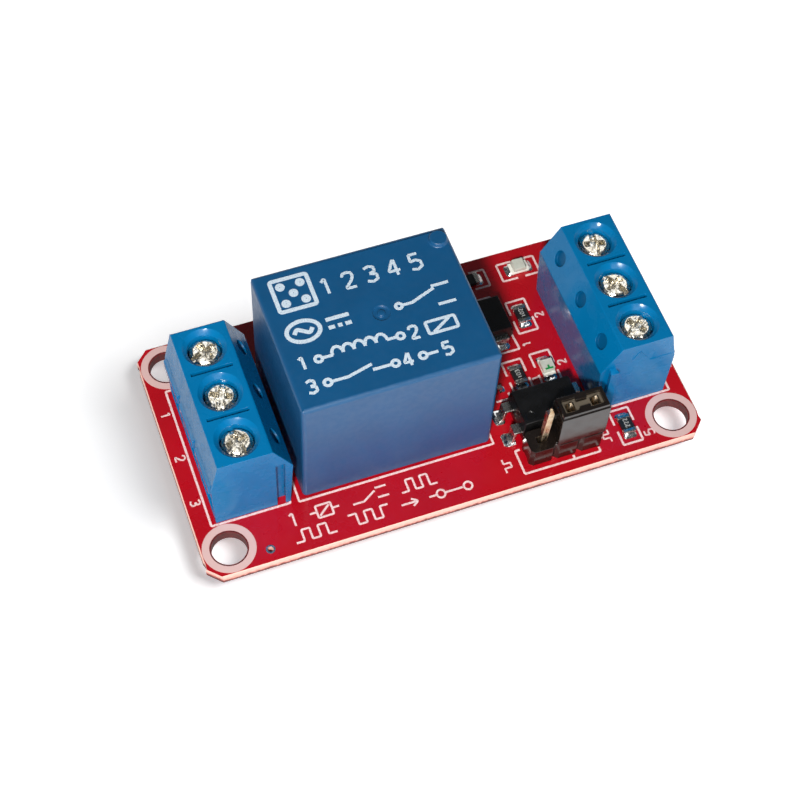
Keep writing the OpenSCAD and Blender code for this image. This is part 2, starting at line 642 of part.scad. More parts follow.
module at_chip(p) translate([p[0], p[1], board_t]) rotate(p[2]) children();

// A chip resistor: the glazed body between two plated ends.
module chip() {
    box_at([-chip_l / 2 + chip_cap, -chip_w / 2 + 0.02, seat + 0.03], [chip_l - 2 * chip_cap, chip_w - 0.04, chip_h - 0.06]);
    for (x = [-1, 1])
        translate([x * (chip_l / 2 - chip_cap / 2), 0, seat + chip_h / 2]) cube([chip_cap + 2 * eps, chip_w, chip_h], center = true);
}
module resistor_1() color("#1b1b1d") at_chip(resistor_at[0]) chip();
module resistor_2() color("#1b1b1d") at_chip(resistor_at[1]) chip();
module resistor_3() color("#1b1b1d") at_chip(resistor_at[2]) chip();
module resistor_4() color("#1b1b1d") at_chip(resistor_at[3]) chip();

module led_base() box_at([-chip_l / 2, -chip_w / 2, seat], [chip_l, chip_w, led_h]);
module led_lens() translate([0, 0, seat + led_h]) along_y(chip_w)
    polygon([[-0.7, 0], [0.7, 0], [0.58, lens_h], [-0.58, lens_h]]);
module led_1_base() color("#e9e6da") at_chip(led_at[0]) led_base();
module led_1_lens() color("#f4f3e6") at_chip(led_at[0]) led_lens();
module led_2_base() color("#e9e6da") at_chip(led_at[1]) led_base();
module led_2_lens() color("#f4f3e6") at_chip(led_at[1]) led_lens();

module diode_lead_set() for (x = [0, 180]) rotate(x)
    along_y(1.5) polygon([[sma_l / 2 - 0.3, 1], [sma_l / 2 + 0.25, 1], [sma_l / 2 + 0.25, 0.25], [sma_l / 2 - 0.9, 0.25],
                          [sma_l / 2 - 0.9, seat], [sma_span / 2, seat], [sma_span / 2, 1.2], [sma_l / 2 - 0.3, 1.2]]);
module at_diode() translate([diode_at[0], diode_at[1], board_t]) rotate(90) children();
module diode_body() color("#202022") at_diode() difference() {
    translate([0, 0, 0.1]) moulded(sma_l, sma_w, sma_h, 0.15);
    diode_lead_set();
}
module diode_leads() color("silver") at_diode() diode_lead_set();

module transistor_lead_set() {
    for (y = [-0.95, 0.95]) translate([0, y, 0]) gull_lead(sot_w / 2, sot_span / 2, 0.1 + sot_h / 2, 0.42, 0.15);
    rotate(180) gull_lead(sot_w / 2, sot_span / 2, 0.1 + sot_h / 2, 0.42, 0.15);
}
module at_transistor() translate([transistor_at[0], transistor_at[1], board_t]) children();
module transistor_body() color("#202022") at_transistor() difference() {
    translate([0, 0, 0.1]) moulded(sot_w, sot_l, sot_h, 0.08);
    transistor_lead_set();
}
module transistor_leads() color("silver") at_transistor() transistor_lead_set();

// Solder under and against the end of a surface part: a plate with a fillet up the end face.
module solder_foot(tip, inside, out, rise, w) along_y(w)
    polygon([[tip - inside, 0], [tip + out, 0], [tip + out, 0.03], [tip, rise], [tip, seat], [tip - inside, seat]]);

module surface_solder() color("silver") {
    for (p = concat(resistor_at, led_at)) at_chip(p) for (a = [0, 180]) rotate(a)
        solder_foot(chip_l / 2, chip_cap, pad_out, 0.38, chip_w + 0.1);
    translate([opto_at[0], opto_at[1], board_t]) for (a = [0, 180], y = [-1, 1]) rotate(a)
        translate([0, y * pin_pitch / 2, 0]) solder_foot(opto_span / 2, 0.7, pad_out, lead_t, 1.5);
    at_diode() for (a = [0, 180]) rotate(a) solder_foot(sma_span / 2, 1, 0.5, 0.9, 1.7);
    at_transistor() {
        for (y = [-0.95, 0.95]) translate([0, y, 0]) solder_foot(sot_span / 2, 0.25, 0.35, 0.15, 0.7);
        rotate(180) solder_foot(sot_span / 2, 0.25, 0.35, 0.15, 0.7);
    }
}

board();
through_hole_solder();
surface_solder();
relay_case();
relay_base();
relay_bobbin();
relay_winding();
relay_core();
relay_yoke();
relay_armature();
relay_contact_blade();
relay_moving_contact();
relay_normally_closed_contact();
relay_normally_open_contact();
relay_common_pin();
relay_coil_pin_front();
relay_coil_pin_back();
load_terminal_housing();
load_screw_1();
load_screw_2();
load_screw_3();
load_clamp_1();
load_clamp_2();
load_clamp_3();
load_contact_1();
load_contact_2();
load_contact_3();
control_terminal_housing();
control_screw_1();
control_screw_2();
control_screw_3();
control_clamp_1();
control_clamp_2();
control_clamp_3();
control_contact_1();
control_contact_2();
control_contact_3();
header_strip();
header_pin_1();
header_pin_2();
header_pin_3();
jumper_cap_shell();
jumper_cap_clip();
optocoupler_body();
optocoupler_leads();
diode_body();
diode_leads();
transistor_body();
transistor_leads();
resistor_1();
resistor_2();
resistor_3();
resistor_4();
led_1_base();
led_1_lens();
led_2_base();
led_2_lens();
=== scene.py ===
# %% [markdown]
# # Dressing a relay module board
# The solids of this circuit board come from the CAD frame: they have the right sizes and places, but they are bare.
# Here each visible piece gets the small rounding, the print, the solder and the finish that the real board has. All
# lengths are in metres in Blender, so a value in millimetres is multiplied by `MM`.

# %% Load the frame
import json
import math

import bmesh
import bpy
from mathutils import Matrix, Vector, noise

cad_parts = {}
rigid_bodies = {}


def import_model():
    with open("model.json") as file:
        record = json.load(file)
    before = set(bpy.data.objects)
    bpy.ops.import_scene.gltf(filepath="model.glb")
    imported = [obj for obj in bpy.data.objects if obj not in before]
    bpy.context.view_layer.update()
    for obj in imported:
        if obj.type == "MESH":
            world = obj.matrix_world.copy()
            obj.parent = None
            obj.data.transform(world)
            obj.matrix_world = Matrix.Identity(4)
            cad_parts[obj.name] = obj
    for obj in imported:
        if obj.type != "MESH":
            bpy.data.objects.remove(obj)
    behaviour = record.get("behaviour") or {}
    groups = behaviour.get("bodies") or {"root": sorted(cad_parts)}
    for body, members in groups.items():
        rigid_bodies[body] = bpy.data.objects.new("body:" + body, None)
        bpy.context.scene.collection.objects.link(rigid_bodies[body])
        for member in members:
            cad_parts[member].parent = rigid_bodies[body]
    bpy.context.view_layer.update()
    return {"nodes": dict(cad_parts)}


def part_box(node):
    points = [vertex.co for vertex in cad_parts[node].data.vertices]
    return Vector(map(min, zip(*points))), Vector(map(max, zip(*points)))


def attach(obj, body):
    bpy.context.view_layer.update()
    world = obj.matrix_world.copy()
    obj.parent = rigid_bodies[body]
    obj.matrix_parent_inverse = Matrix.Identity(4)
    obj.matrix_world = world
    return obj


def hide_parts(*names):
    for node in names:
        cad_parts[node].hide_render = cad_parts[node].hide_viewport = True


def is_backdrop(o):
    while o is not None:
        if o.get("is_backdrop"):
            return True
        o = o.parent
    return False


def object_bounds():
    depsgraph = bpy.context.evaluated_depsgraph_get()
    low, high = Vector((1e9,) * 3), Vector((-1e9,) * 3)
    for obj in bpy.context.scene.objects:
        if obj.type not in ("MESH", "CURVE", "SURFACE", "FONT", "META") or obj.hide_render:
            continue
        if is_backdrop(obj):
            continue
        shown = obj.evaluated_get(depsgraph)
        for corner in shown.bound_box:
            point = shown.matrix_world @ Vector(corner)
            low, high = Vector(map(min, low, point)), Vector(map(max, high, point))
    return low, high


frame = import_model()
scene = bpy.context.scene
MM = 0.001

# %% Sizes that the dressing needs
board_low, board_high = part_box("board")
board_top = board_high.z
lid_height = 15.25 * MM  # the lid over the case's lower edge; the nub on the lid stands higher
relay_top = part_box("relay_case")[0].z + lid_height
hole_x, hole_y, hole_ring = 22.6 * MM, 10.5 * MM, 2 * MM
holes = [Vector((sx * hole_x, sy * hole_y)) for sx in (-1, 1) for sy in (-1, 1)]
poles = (-5.08 * MM, 0, 5.08 * MM)  # the three screws of a terminal block lie at these y
pins_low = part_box("header_pin_1")[0].z
print("board top at", round(board_top / MM, 2), "mm, relay lid at", round(relay_top / MM, 2), "mm")

# %% [markdown]
# ## Camera
# A product shot looks down on the board from the front left corner with a long lens, so that parallel edges stay
# nearly parallel. The camera is placed by two angles round a target and a distance, and then rolled a little.

# %% Camera
def aim_camera(azimuth, elevation, roll, target, distance, lens):
    """Angles in degrees, target and distance in mm. Azimuth runs from the front, positive to the right."""
    a, e, r = (math.radians(v) for v in (azimuth, elevation, roll))
    back = Vector((math.sin(a) * math.cos(e), -math.cos(a) * math.cos(e), math.sin(e)))
    side = Vector((0, 0, 1)).cross(back).normalized()
    up = back.cross(side)
    right = math.cos(r) * side + math.sin(r) * up
    top = -math.sin(r) * side + math.cos(r) * up
    camera = bpy.data.objects.new("camera", bpy.data.cameras.new("camera"))
    scene.collection.objects.link(camera)
    turn = Matrix((right, top, back)).transposed().to_4x4()
    camera.matrix_world = Matrix.Translation(Vector(target) * MM + back * distance * MM) @ turn
    camera.data.lens, camera.data.sensor_width = lens, 36
    camera.data.clip_start, camera.data.clip_end = 0.005, 5
    bpy.context.scene.camera = camera
    return camera


camera = aim_camera(azimuth=-23.25, elevation=58.56, roll=3.97, target=(-3.27, -3.20, board_top / MM + 5),
                    distance=166.0, lens=78.83)
bpy.context.scene.view_settings.view_transform = "Standard"
print("camera at", [round(v / MM, 1) for v in camera.location], "mm")

# %% [markdown]
# ## Studio
# The board stands in a white studio with a low round wall, which shows only from low down. The floor is a plain
# diffuse white that takes the soft shadow. It adds a little light of its own for camera, glossy and transmitted
# rays, so that it reads as white without flooding the board. The world above stays dim, because a bright one would
# wash out the plastic tops.

# %% White floor and world
def seen_rays(tree):
    """1 for rays from the camera, from gloss and through glass, and 0 for the light that reaches surfaces."""
    add, link = tree.nodes.new, tree.links.new
    rays = add("ShaderNodeLightPath").outputs
    seen = rays["Is Camera Ray"]
    for kind in ("Glossy", "Transmission"):
        either = add("ShaderNodeMath")
        either.operation = "MAXIMUM"
        link(seen, either.inputs[0])
        link(rays[f"Is {kind} Ray"], either.inputs[1])
        seen = either.outputs[0]
    return seen


def white_floor(own_light=0.46):
    mat = bpy.data.materials.new("white_floor")
    mat.use_nodes = True
    tree = mat.node_tree
    tree.nodes.clear()
    add, link = tree.nodes.new, tree.links.new
    diffuse, glow, both = add("ShaderNodeBsdfDiffuse"), add("ShaderNodeEmission"), add("ShaderNodeAddShader")
    diffuse.inputs["Color"].default_value = (0.86, 0.86, 0.865, 1)
    scale = add("ShaderNodeMath")
    scale.operation = "MULTIPLY"
    scale.inputs[1].default_value = own_light
    link(seen_rays(tree), scale.inputs[0])
    link(scale.outputs[0], glow.inputs["Strength"])
    link(diffuse.outputs[0], both.inputs[0])
    link(glow.outputs[0], both.inputs[1])
    link(both.outputs[0], add("ShaderNodeOutputMaterial").inputs["Surface"])
    return mat


studio_radius, wall_height = 0.9, 0.25
bpy.ops.mesh.primitive_circle_add(vertices=96, radius=studio_radius, fill_type="NGON", location=(0, 0, pins_low))
floor = bpy.context.object
floor.name = "floor"
floor.data.materials.append(white_floor())
floor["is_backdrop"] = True
bpy.ops.mesh.primitive_cylinder_add(vertices=96, radius=studio_radius - 0.001, depth=wall_height,
                                    end_fill_type="NOTHING", location=(0, 0, pins_low + wall_height / 2))
wall = bpy.context.object
wall.name = "wall"
wall.data.materials.append(floor.data.materials[0])
wall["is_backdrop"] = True

world = bpy.data.worlds.new("studio")
bpy.context.scene.world = world
world.use_nodes = True
sky = world.node_tree.nodes["Background"]
sky.inputs["Color"].default_value = (0.92, 0.96, 1, 1)
sky.inputs["Strength"].default_value = 0.10
print("floor at", round(pins_low / MM, 2), "mm, under the pin ends")

# %% [markdown]
# ## Lamps
# A fairly small key lamp stands to the left of the front, 48 degrees up: it draws the crisp edge of the relay's
# shadow on the board. A wide weak box fills the front. The floor has a lamp of its own, far to the right and very
# soft, so that the shadow round the board stays a gentle halo: light linking tells each lamp what it may light.

# %% Lamps
def soft_box(name, azimuth, elevation, distance, size, power, tint=(1, 1, 1)):
    """A square lamp that looks at the board's middle. Angles in degrees, distance and size in metres."""
    a, e = math.radians(azimuth), math.radians(elevation)
    place = Vector((math.sin(a) * math.cos(e), -math.cos(a) * math.cos(e), math.sin(e))) * distance
    lamp = bpy.data.lights.new(name, "AREA")
    lamp.size, lamp.energy, lamp.color = size, power, tint
    box = bpy.data.objects.new(name, lamp)
    scene.collection.objects.link(box)
    box.location = place
    box.rotation_euler = (-place).to_track_quat("-Z", "Y").to_euler()
    return box


def link_floor(lamp, state):
    """INCLUDE lets the lamp light the floor alone, EXCLUDE lets it light everything else."""
    group = bpy.data.collections.new(lamp.name + "_and_floor")
    group.objects.link(floor)
    group.collection_objects[0].light_linking.link_state = state
    lamp.light_linking.receiver_collection = group


key = soft_box("key_lamp", azimuth=-30, elevation=48, distance=0.28, size=0.021, power=0.92,
               tint=(1.0, 0.985, 0.955))
front = soft_box("front_box", azimuth=-8, elevation=26, distance=0.55, size=0.30, power=0.75,
                 tint=(0.98, 0.99, 1.0))
halo = soft_box("floor_lamp", azimuth=52, elevation=56, distance=0.60, size=0.28, power=3.4)
link_floor(key, "EXCLUDE")
link_floor(front, "EXCLUDE")
link_floor(halo, "INCLUDE")

# %% [markdown]
# ## Finishes
# Each finish is a Principled shader. Its plain values sit on the shader's own sockets; what varies over the
# surface, such as mottling, grain and polish, comes from noise on Object coordinates. A noise whose features are
# `s` millimetres across has a scale of 1000 / s, because Object coordinates are in metres.

# %% Helpers for finishes
def linear(r, g, b):
    """A screen colour from 0 to 255 as the linear colour that a shader wants."""
    def one(c):
        c /= 255
        return c / 12.92 if c <= 0.04045 else ((c + 0.055) / 1.055) ** 2.4
    return (one(r), one(g), one(b), 1)


class Finish:
    """A Principled material that is built up in steps."""

    def __init__(self, name, colour, roughness, metallic=0.0, **sockets):
        self.mat = bpy.data.materials.new(name)
        self.mat.use_nodes = True
        self.tree = self.mat.node_tree
        self.add, self.link = self.tree.nodes.new, self.tree.links.new
        self.shader = self.tree.nodes["Principled BSDF"]
        self.shader.inputs["Base Color"].default_value = colour
        self.shader.inputs["Roughness"].default_value = roughness
        self.shader.inputs["Metallic"].default_value = metallic
        for socket, value in sockets.items():
            self.shader.inputs[socket.replace("_", " ")].default_value = value
        self.mat.diffuse_color = colour
        self.place = self.add("ShaderNodeTexCoord").outputs["Object"]
        self.height = None

    def noise(self, size, detail=2.0, stretch=(1, 1, 1)):
        """Noise with features of `size` millimetres, from about 0.3 to 0.7."""
        place = self.place
        if stretch != (1, 1, 1):
            mapping = self.add("ShaderNodeMapping")
            mapping.inputs["Scale"].default_value = stretch
            self.link(place, mapping.inputs["Vector"])
            place = mapping.outputs["Vector"]
        node = self.add("ShaderNodeTexNoise")
        node.inputs["Scale"].default_value = 1000 / size
        node.inputs["Detail"].default_value = detail
        self.link(place, node.inputs["Vector"])
        return node.outputs["Fac"]

    def colour(self, value, stops):
        """The base colour runs through the stops, each (position, colour), as the value rises."""
        node = self.add("ShaderNodeValToRGB")
        elements = node.color_ramp.elements
        while len(elements) < len(stops):
            elements.new(0.5)
        for element, (position, colour) in zip(elements, stops):
            element.position, element.color = position, colour
        self.link(value, node.inputs["Fac"])
        self.link(node.outputs["Color"], self.shader.inputs["Base Color"])

    def polish(self, value, low, high):
        """Roughness between low and high, as the noise goes from 0.35 to 0.65."""
        node = self.add("ShaderNodeMapRange")
        for socket, limit in (("From Min", 0.35), ("From Max", 0.65), ("To Min", low), ("To Max", high)):
            node.inputs[socket].default_value = limit
        self.link(value, node.inputs["Value"])
        self.link(node.outputs["Result"], self.shader.inputs["Roughness"])

    def bump(self, value, depth):
        """Adds relief of `depth` millimetres to what is there already."""
        node = self.add("ShaderNodeBump")
        node.inputs["Distance"].default_value = depth * MM
        node.inputs["Strength"].default_value = 1.0
        self.link(value, node.inputs["Height"])
        if self.height:
            self.link(self.height, node.inputs["Normal"])
        self.height = node.outputs["Normal"]
        self.link(self.height, self.shader.inputs["Normal"])


def shade(colour, factor):
    """The colour made lighter or darker by a factor."""
    return tuple(min(1, c * factor) for c in colour[:3]) + (1,)


def finish(name, rgb, roughness, metallic=0.0, mottle=None, tones=None, polish=None, bumps=(), **sockets):
    """A whole finish in one call. mottle is (spread, *noise), tones is (stops, *noise), polish is ((low, high),
    *noise) and each of the bumps is (depth, *noise), where *noise stands for size, detail and stretch of a noise."""
    colour = linear(*rgb)
    made = Finish(name, colour, roughness, metallic, **sockets)
    if mottle:
        spread, *grain = mottle
        made.colour(made.noise(*grain), [(0.3, shade(colour, 1 - spread)), (0.7, shade(colour, 1 + spread))])
    if tones:
        stops, *grain = tones
        made.colour(made.noise(*grain), [(place, linear(*tone)) for place, tone in stops])
    if polish:
        (low, high), *grain = polish
        made.polish(made.noise(*grain), low, high)
    for depth, *grain in bumps:
        made.bump(made.noise(*grain), depth)
    return made


print("a mid grey of 128 on the screen is", round(linear(128, 128, 128)[0], 3), "in a shader")

# %% [markdown]
# ### Board finishes
# Solder mask is a thin glossy lacquer over woven glass and copper: nearly one colour, with a faint weave in its
# shine. The white print on it is matt and slightly rough. Where the board was snapped from its panel, the pale
# laminate shows.

# %% Solder mask
WAVE_SCALE = 1000 * 0.05  # over a pitch in mm, this is the scale of a wave texture on Object coordinates


def weave(made, pitch, depth):
    """Two crossed waves, like plain-woven cloth under lacquer."""
    both = made.add("ShaderNodeMath")
    both.operation = "MULTIPLY"
    for i, direction in enumerate("XY"):
        wave = made.add("ShaderNodeTexWave")
        wave.wave_type, wave.bands_direction = "BANDS", direction
        wave.inputs["Scale"].default_value = WAVE_SCALE / pitch
        wave.inputs["Distortion"].default_value = 0.6
        made.link(made.place, wave.inputs["Vector"])
        made.link(wave.outputs["Fac"], both.inputs[i])
    made.bump(both.outputs[0], depth)


mask = finish("crimson_solder_mask", (174, 4, 22), 0.3, mottle=(0.10, 9.0, 3.0), polish=((0.24, 0.36), 2.0),
              Specular_IOR_Level=0.5, Coat_Weight=0.25, Coat_Roughness=0.12)
weave(mask, 0.55, 0.004)
mask.bump(mask.noise(0.25), 0.003)
print("solder mask has", len(mask.tree.nodes), "nodes")

# %% Bare edge
# the edge is pale above, where it broke, and painted darker towards the bottom: painted shade, as on a lower face that
# turns away from the light
laminate = finish("bare_laminate", (232, 178, 160), 0.62)
height = laminate.add("ShaderNodeSeparateXYZ")
laminate.link(laminate.place, height.inputs[0])
level = laminate.add("ShaderNodeMapRange")
level.inputs["From Min"].default_value, level.inputs["From Max"].default_value = 0, board_top
laminate.link(height.outputs["Z"], level.inputs["Value"])
ragged_shade_level = laminate.add("ShaderNodeMath")
ragged_shade_level.operation = "MULTIPLY_ADD"
ragged_shade_level.inputs[1].default_value = 0.5
laminate.link(laminate.noise(0.35, 3), ragged_shade_level.inputs[0])
laminate.link(level.outputs["Result"], ragged_shade_level.inputs[2])
laminate.colour(ragged_shade_level.outputs[0], [(0.48, linear(92, 34, 30)), (0.62, linear(176, 84, 74)),
                                    (0.72, linear(224, 160, 144)), (1.0, linear(238, 194, 180))])
laminate.bump(laminate.noise(0.12, 3), 0.03)
print("edge finish ready")

# %% Holes and print
# the drilled walls are painted dark red-brown as shade inside the holes; their mottle and drill grain are their own
bore_wall_and_shade = finish("drilled_wall", (84, 26, 24), 0.6, mottle=(0.35, 0.4), bumps=[(0.02, 0.12, 2, (1, 1, 0.3))])
ring_print = finish("ring_print", (212, 176, 172), 0.58)
board_print = finish("board_print", (232, 200, 198), 0.58, bumps=[(0.006, 0.08, 2)],
                     tones=([(0.28, (212, 160, 160)), (0.5, (232, 200, 198)), (0.8, (244, 224, 222))], 0.16, 3))
print("board finishes ready")

# %% [markdown]
# ### Plastics
# The terminal blocks are a bright, satin nylon, and the relay case is a darker blue with a fine spark-eroded
# texture that turns its reflections into a wide haze. The header and its cap are black and glossy, and the chip
# packages are dull.

# %% Plastics
terminal_blue = finish("terminal_blue_nylon", (0, 107, 161), 0.24, mottle=(0.06, 5.0), polish=((0.16, 0.32), 1.2),
                       bumps=[(0.002, 0.22, 2), (0.012, 2.5, 1)], Specular_IOR_Level=0.29)
# painted shade: a darker blue for the faces inside the blocks' slope pockets, so that the pockets look deeper
pocket_painted_shade = finish("terminal_blue_pocket", (0, 80, 124), 0.4, Specular_IOR_Level=0.2)
relay_blue = finish("relay_case_blue", (4, 76, 122), 0.42, mottle=(0.05, 4.0), polish=((0.36, 0.46), 0.6),
                    bumps=[(0.003, 0.13, 3)], Specular_IOR_Level=0.7)
relay_print = finish("relay_print", (200, 214, 226), 0.6, bumps=[(0.008, 0.07, 2)],
                     tones=([(0.25, (120, 156, 188)), (0.42, (188, 205, 220)), (0.75, (216, 227, 235))], 0.12, 3))
base_resin = finish("relay_base_resin", (10, 46, 84), 0.3, mottle=(0.2, 1.5), bumps=[(0.06, 1.2)])
bobbin_cream = finish("bobbin_cream", (226, 218, 196), 0.5, mottle=(0.06, 1.5), bumps=[(0.006, 0.2)])
black_moulding = finish("black_moulding", (24, 18, 15), 0.22, mottle=(0.25, 1.5), polish=((0.14, 0.26), 0.9),
                        bumps=[(0.006, 1.1, 1)], Coat_Weight=0.2, Coat_Roughness=0.08)
package_black = finish("package_black", (13, 13, 14), 0.32, mottle=(0.3, 1.2), polish=((0.24, 0.42), 0.8),
                       bumps=[(0.004, 0.25, 2)])
chip_black = finish("chip_epoxy", (26, 26, 28), 0.45, mottle=(0.3, 0.8), bumps=[(0.008, 0.07, 2)])
chip_mark = finish("chip_mark", (176, 176, 172), 0.55, mottle=(0.25, 0.15))
print("plastics ready")

# %% [markdown]
# ### Metals
# Plated screws are bright but not mirrors: a fine noise in the polish and small dents break their reflections into
# sparkles. Solder is smooth with a slightly crystalline skin. The header pins carry a thin, warm gold flash.

# %% Metals
zinc = finish("zinc_plate", (226, 220, 206), 0.24, 1.0, polish=((0.14, 0.38), 0.2, 2),
              bumps=[(0.03, 0.45, 2), (0.003, 0.06, 2)],
              tones=([(0.3, (196, 186, 166)), (0.5, (228, 222, 208)), (0.7, (246, 244, 238))], 0.35, 3))
tin = finish("tin_plate", (214, 212, 206), 0.26, 1.0, polish=((0.18, 0.36), 0.2), bumps=[(0.01, 0.12, 2)],
             tones=([(0.3, (176, 174, 168)), (0.6, (226, 224, 218))], 0.25, 3))
clip_tin = finish("clip_tin", (176, 162, 142), 0.3, 0.8)
solder = finish("solder", (222, 222, 220), 0.2, 1.0, polish=((0.12, 0.3), 0.18), bumps=[(0.03, 0.35, 2)],
                tones=([(0.3, (184, 186, 188)), (0.65, (236, 236, 232))], 0.3, 3))
gold = finish("gold_flash", (216, 190, 156), 0.26, 1.0, polish=((0.18, 0.38), 0.3, 2, (1, 1, 0.15)),
              bumps=[(0.008, 0.12, 2, (1, 1, 0.1))], tones=([(0.3, (190, 156, 118)), (0.65, (232, 212, 182))], 0.5, 3))
iron = finish("nickelled_iron", (150, 152, 150), 0.35, 1.0, polish=((0.26, 0.44), 0.4), bumps=[(0.01, 0.2, 3)])
leaf_copper = finish("leaf_copper", (206, 138, 92), 0.28, 1.0, polish=((0.2, 0.36), 0.3, 2, (0.1, 1, 1)),
                     bumps=[(0.006, 0.15, 2, (0.1, 1, 1))])
silver_rivet = finish("contact_silver", (228, 226, 220), 0.3, 1.0, bumps=[(0.01, 0.2, 2)])
brass_strap = finish("brass_strap", (206, 170, 104), 0.3, 1.0, polish=((0.22, 0.4), 0.3, 2), bumps=[(0.006, 0.2, 2)])
winding_wire = finish("enamelled_wire", (150, 66, 30), 0.3, 0.85, Coat_Weight=0.5)
turns = winding_wire.add("ShaderNodeTexWave")
turns.bands_direction = "Z"
turns.inputs["Scale"].default_value = WAVE_SCALE / 0.12
winding_wire.link(winding_wire.place, turns.inputs["Vector"])
winding_wire.bump(turns.outputs["Fac"], 0.04)
print("metals ready")

# %% [markdown]
# ### Lamps on the board
# A chip lamp is a white carrier with plated ends and a block of cast resin. The resin is clear but milky, so light
# goes a little way in.

# %% Lamp finishes
carrier_white = finish("lamp_carrier", (232, 230, 220), 0.5, mottle=(0.1, 0.4))
resin = finish("lamp_resin", (238, 240, 226), 0.14, mottle=(0.08, 0.5), bumps=[(0.02, 0.3)],
               Specular_IOR_Level=0.6, Transmission_Weight=0.35, IOR=1.5)
green_mark = finish("green_mark", (26, 140, 70), 0.45, mottle=(0.2, 0.2))
print(len(bpy.data.materials), "finishes in all")

# %% [markdown]
# ## Softened solids
# Nothing moulded, stamped or cut has a perfectly sharp edge, and the thin line of light on a rounded edge is what
# makes a model look real. Each visible solid is copied from the frame, its loose triangles are merged into clean
# faces, and its edges get a small bevel. Weighted normals keep the flat faces flat.

# %% Helpers for meshes
def as_bmesh(mesh):
    bm = bmesh.new()
    bm.from_mesh(mesh)
    return bm


def as_mesh(name, bm):
    mesh = bpy.data.meshes.new(name)
    bm.to_mesh(mesh)
    bm.free()
    return mesh


def modified(mesh, kind, settings, inputs=()):
    """Sends a mesh through one modifier and gives back the result as a new mesh."""
    carrier = bpy.data.objects.new("carrier", mesh)
    scene.collection.objects.link(carrier)
    step = carrier.modifiers.new("step", kind)
    for name, value in settings.items():
        setattr(step, name, value)
    for socket, value in inputs:
        step[socket] = value
    seen = carrier.evaluated_get(bpy.context.evaluated_depsgraph_get())
    result = bpy.data.meshes.new_from_object(seen)
    bpy.data.objects.remove(carrier)
    return result


def add_piece(name, mesh, body, nodes=(), sharp=35, even=False):
    """Makes a mesh an object at the origin, hangs it on the body it rides on and hides the nodes it stands for."""
    mesh.shade_smooth()
    mesh.set_sharp_from_angle(angle=math.radians(sharp))
    piece = bpy.data.objects.new(name, mesh)
    scene.collection.objects.link(piece)
    if even:
        piece.modifiers.new("even shading", "WEIGHTED_NORMAL").keep_sharp = True
    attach(piece, body)
    if nodes:
        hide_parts(*nodes)
    return piece


print("mesh helpers ready")


# %% Helpers that soften a solid
TINY = 0.002 * MM  # edges shorter than this are left-overs of a bevel


def clean_copy(node):
    """The node's solid as a bmesh with merged corners and whole flat faces."""
    bm = as_bmesh(frame["nodes"][node].data)
    bmesh.ops.remove_doubles(bm, verts=bm.verts, dist=0.0005 * MM)
    bmesh.ops.dissolve_limit(bm, angle_limit=math.radians(1), verts=bm.verts, edges=bm.edges)
    return bm


def sharp_edges(bm, angle=25):
    return [e for e in bm.edges if len(e.link_faces) == 2 and e.calc_face_angle() > math.radians(angle)]


def dress(node, bm, looks, body="module", sharp=35):
    """The bmesh becomes the piece that stands for the node. Its faces number the finishes in looks."""
    mesh = as_mesh(node + "_dressed", bm)
    for look in looks:
        mesh.materials.append(look.mat)
    return add_piece(node + "_dressed", mesh, body, (node,), sharp, even=True)


def soften(node, look, width, segments=2, body="module", more=(), pick=None):
    """A copy with rounded edges, width in mm. pick(centre, normal) gives a face another of the finishes."""
    bm = clean_copy(node)
    if pick:
        for face in bm.faces:
            face.material_index = pick(face.calc_center_median(), face.normal)
    edges = sharp_edges(bm)
    if width and edges:
        bmesh.ops.bevel(bm, geom=edges, offset=width * MM, segments=segments, profile=0.5, affect="EDGES",
                        clamp_overlap=False, material=-1)
    bmesh.ops.dissolve_degenerate(bm, dist=TINY, edges=bm.edges)
    return dress(node, bm, (look, *more), body)


print("edges over 25 degrees on the relay case:", len(sharp_edges(clean_copy("relay_case"))))

# %% [markdown]
# ## Board
# The board's upper and lower faces carry the mask, its scored and snapped edges show laminate that is painted darker
# towards the bottom as shade, and the drilled walls are painted darker as the shade inside the holes. The solid
# already has the scored bevels and the corner cuts, so the faces only need sorting.

# %% Board
def board_faces(centre, normal):
    """0 is a face with mask, 2 is the wall of a mounting hole, and 1 is any other edge."""
    if abs(normal.z) > 0.98:
        return 0
    return 2 if min((centre.xy - hole).length for hole in holes) < hole_ring else 1


board = soften("board", mask, 0.0, more=(laminate, bore_wall_and_shade), pick=board_faces)
print("board faces:", len(board.data.polygons))

# %% [markdown]
# ## Blocks, relay case and header
# These are mouldings. The blocks have the largest radii, the relay case has small ones, and the header and cap
# are nearly sharp.

# %% Terminal blocks
def round_by_weight(bm, width_of, segments=3):
    """Rounds many edges in one step, each with its own width in mm, so that they meet cleanly in the corners."""
    weight = bm.edges.layers.float.new("bevel_weight_edge")
    widths = {edge: width_of(edge) for edge in sharp_edges(bm)}
    widest = max(widths.values())
    for edge, width in widths.items():
        edge[weight] = width / widest
    done = as_bmesh(modified(as_mesh("block", bm), "BEVEL",
                             {"limit_method": "WEIGHT", "use_clamp_overlap": False, "width": widest * MM,
                              "segments": segments}))
    bmesh.ops.dissolve_degenerate(done, dist=TINY, edges=done.edges)
    return done


def block_width(edge):
    """Far corners are round, long outer edges are soft, and the edges of small recesses stay crisp."""
    far = all(v.co.y > 7.55 * MM and v.co.z > board_top + 6 * MM for v in edge.verts)
    wire_side = all(abs(v.co.x) > 22 * MM for v in edge.verts)
    if far and not wire_side and edge.calc_length() > 1.5 * MM:
        return 0.36
    return 0.1 if edge.calc_length() > 7 * MM else 0.03


slope_middle = (16.225 * MM, 9.625 * MM)  # x and z of the middle of a block's sloping back
slope_up = (0.483, 0.875)                 # x and z of the direction up the slope


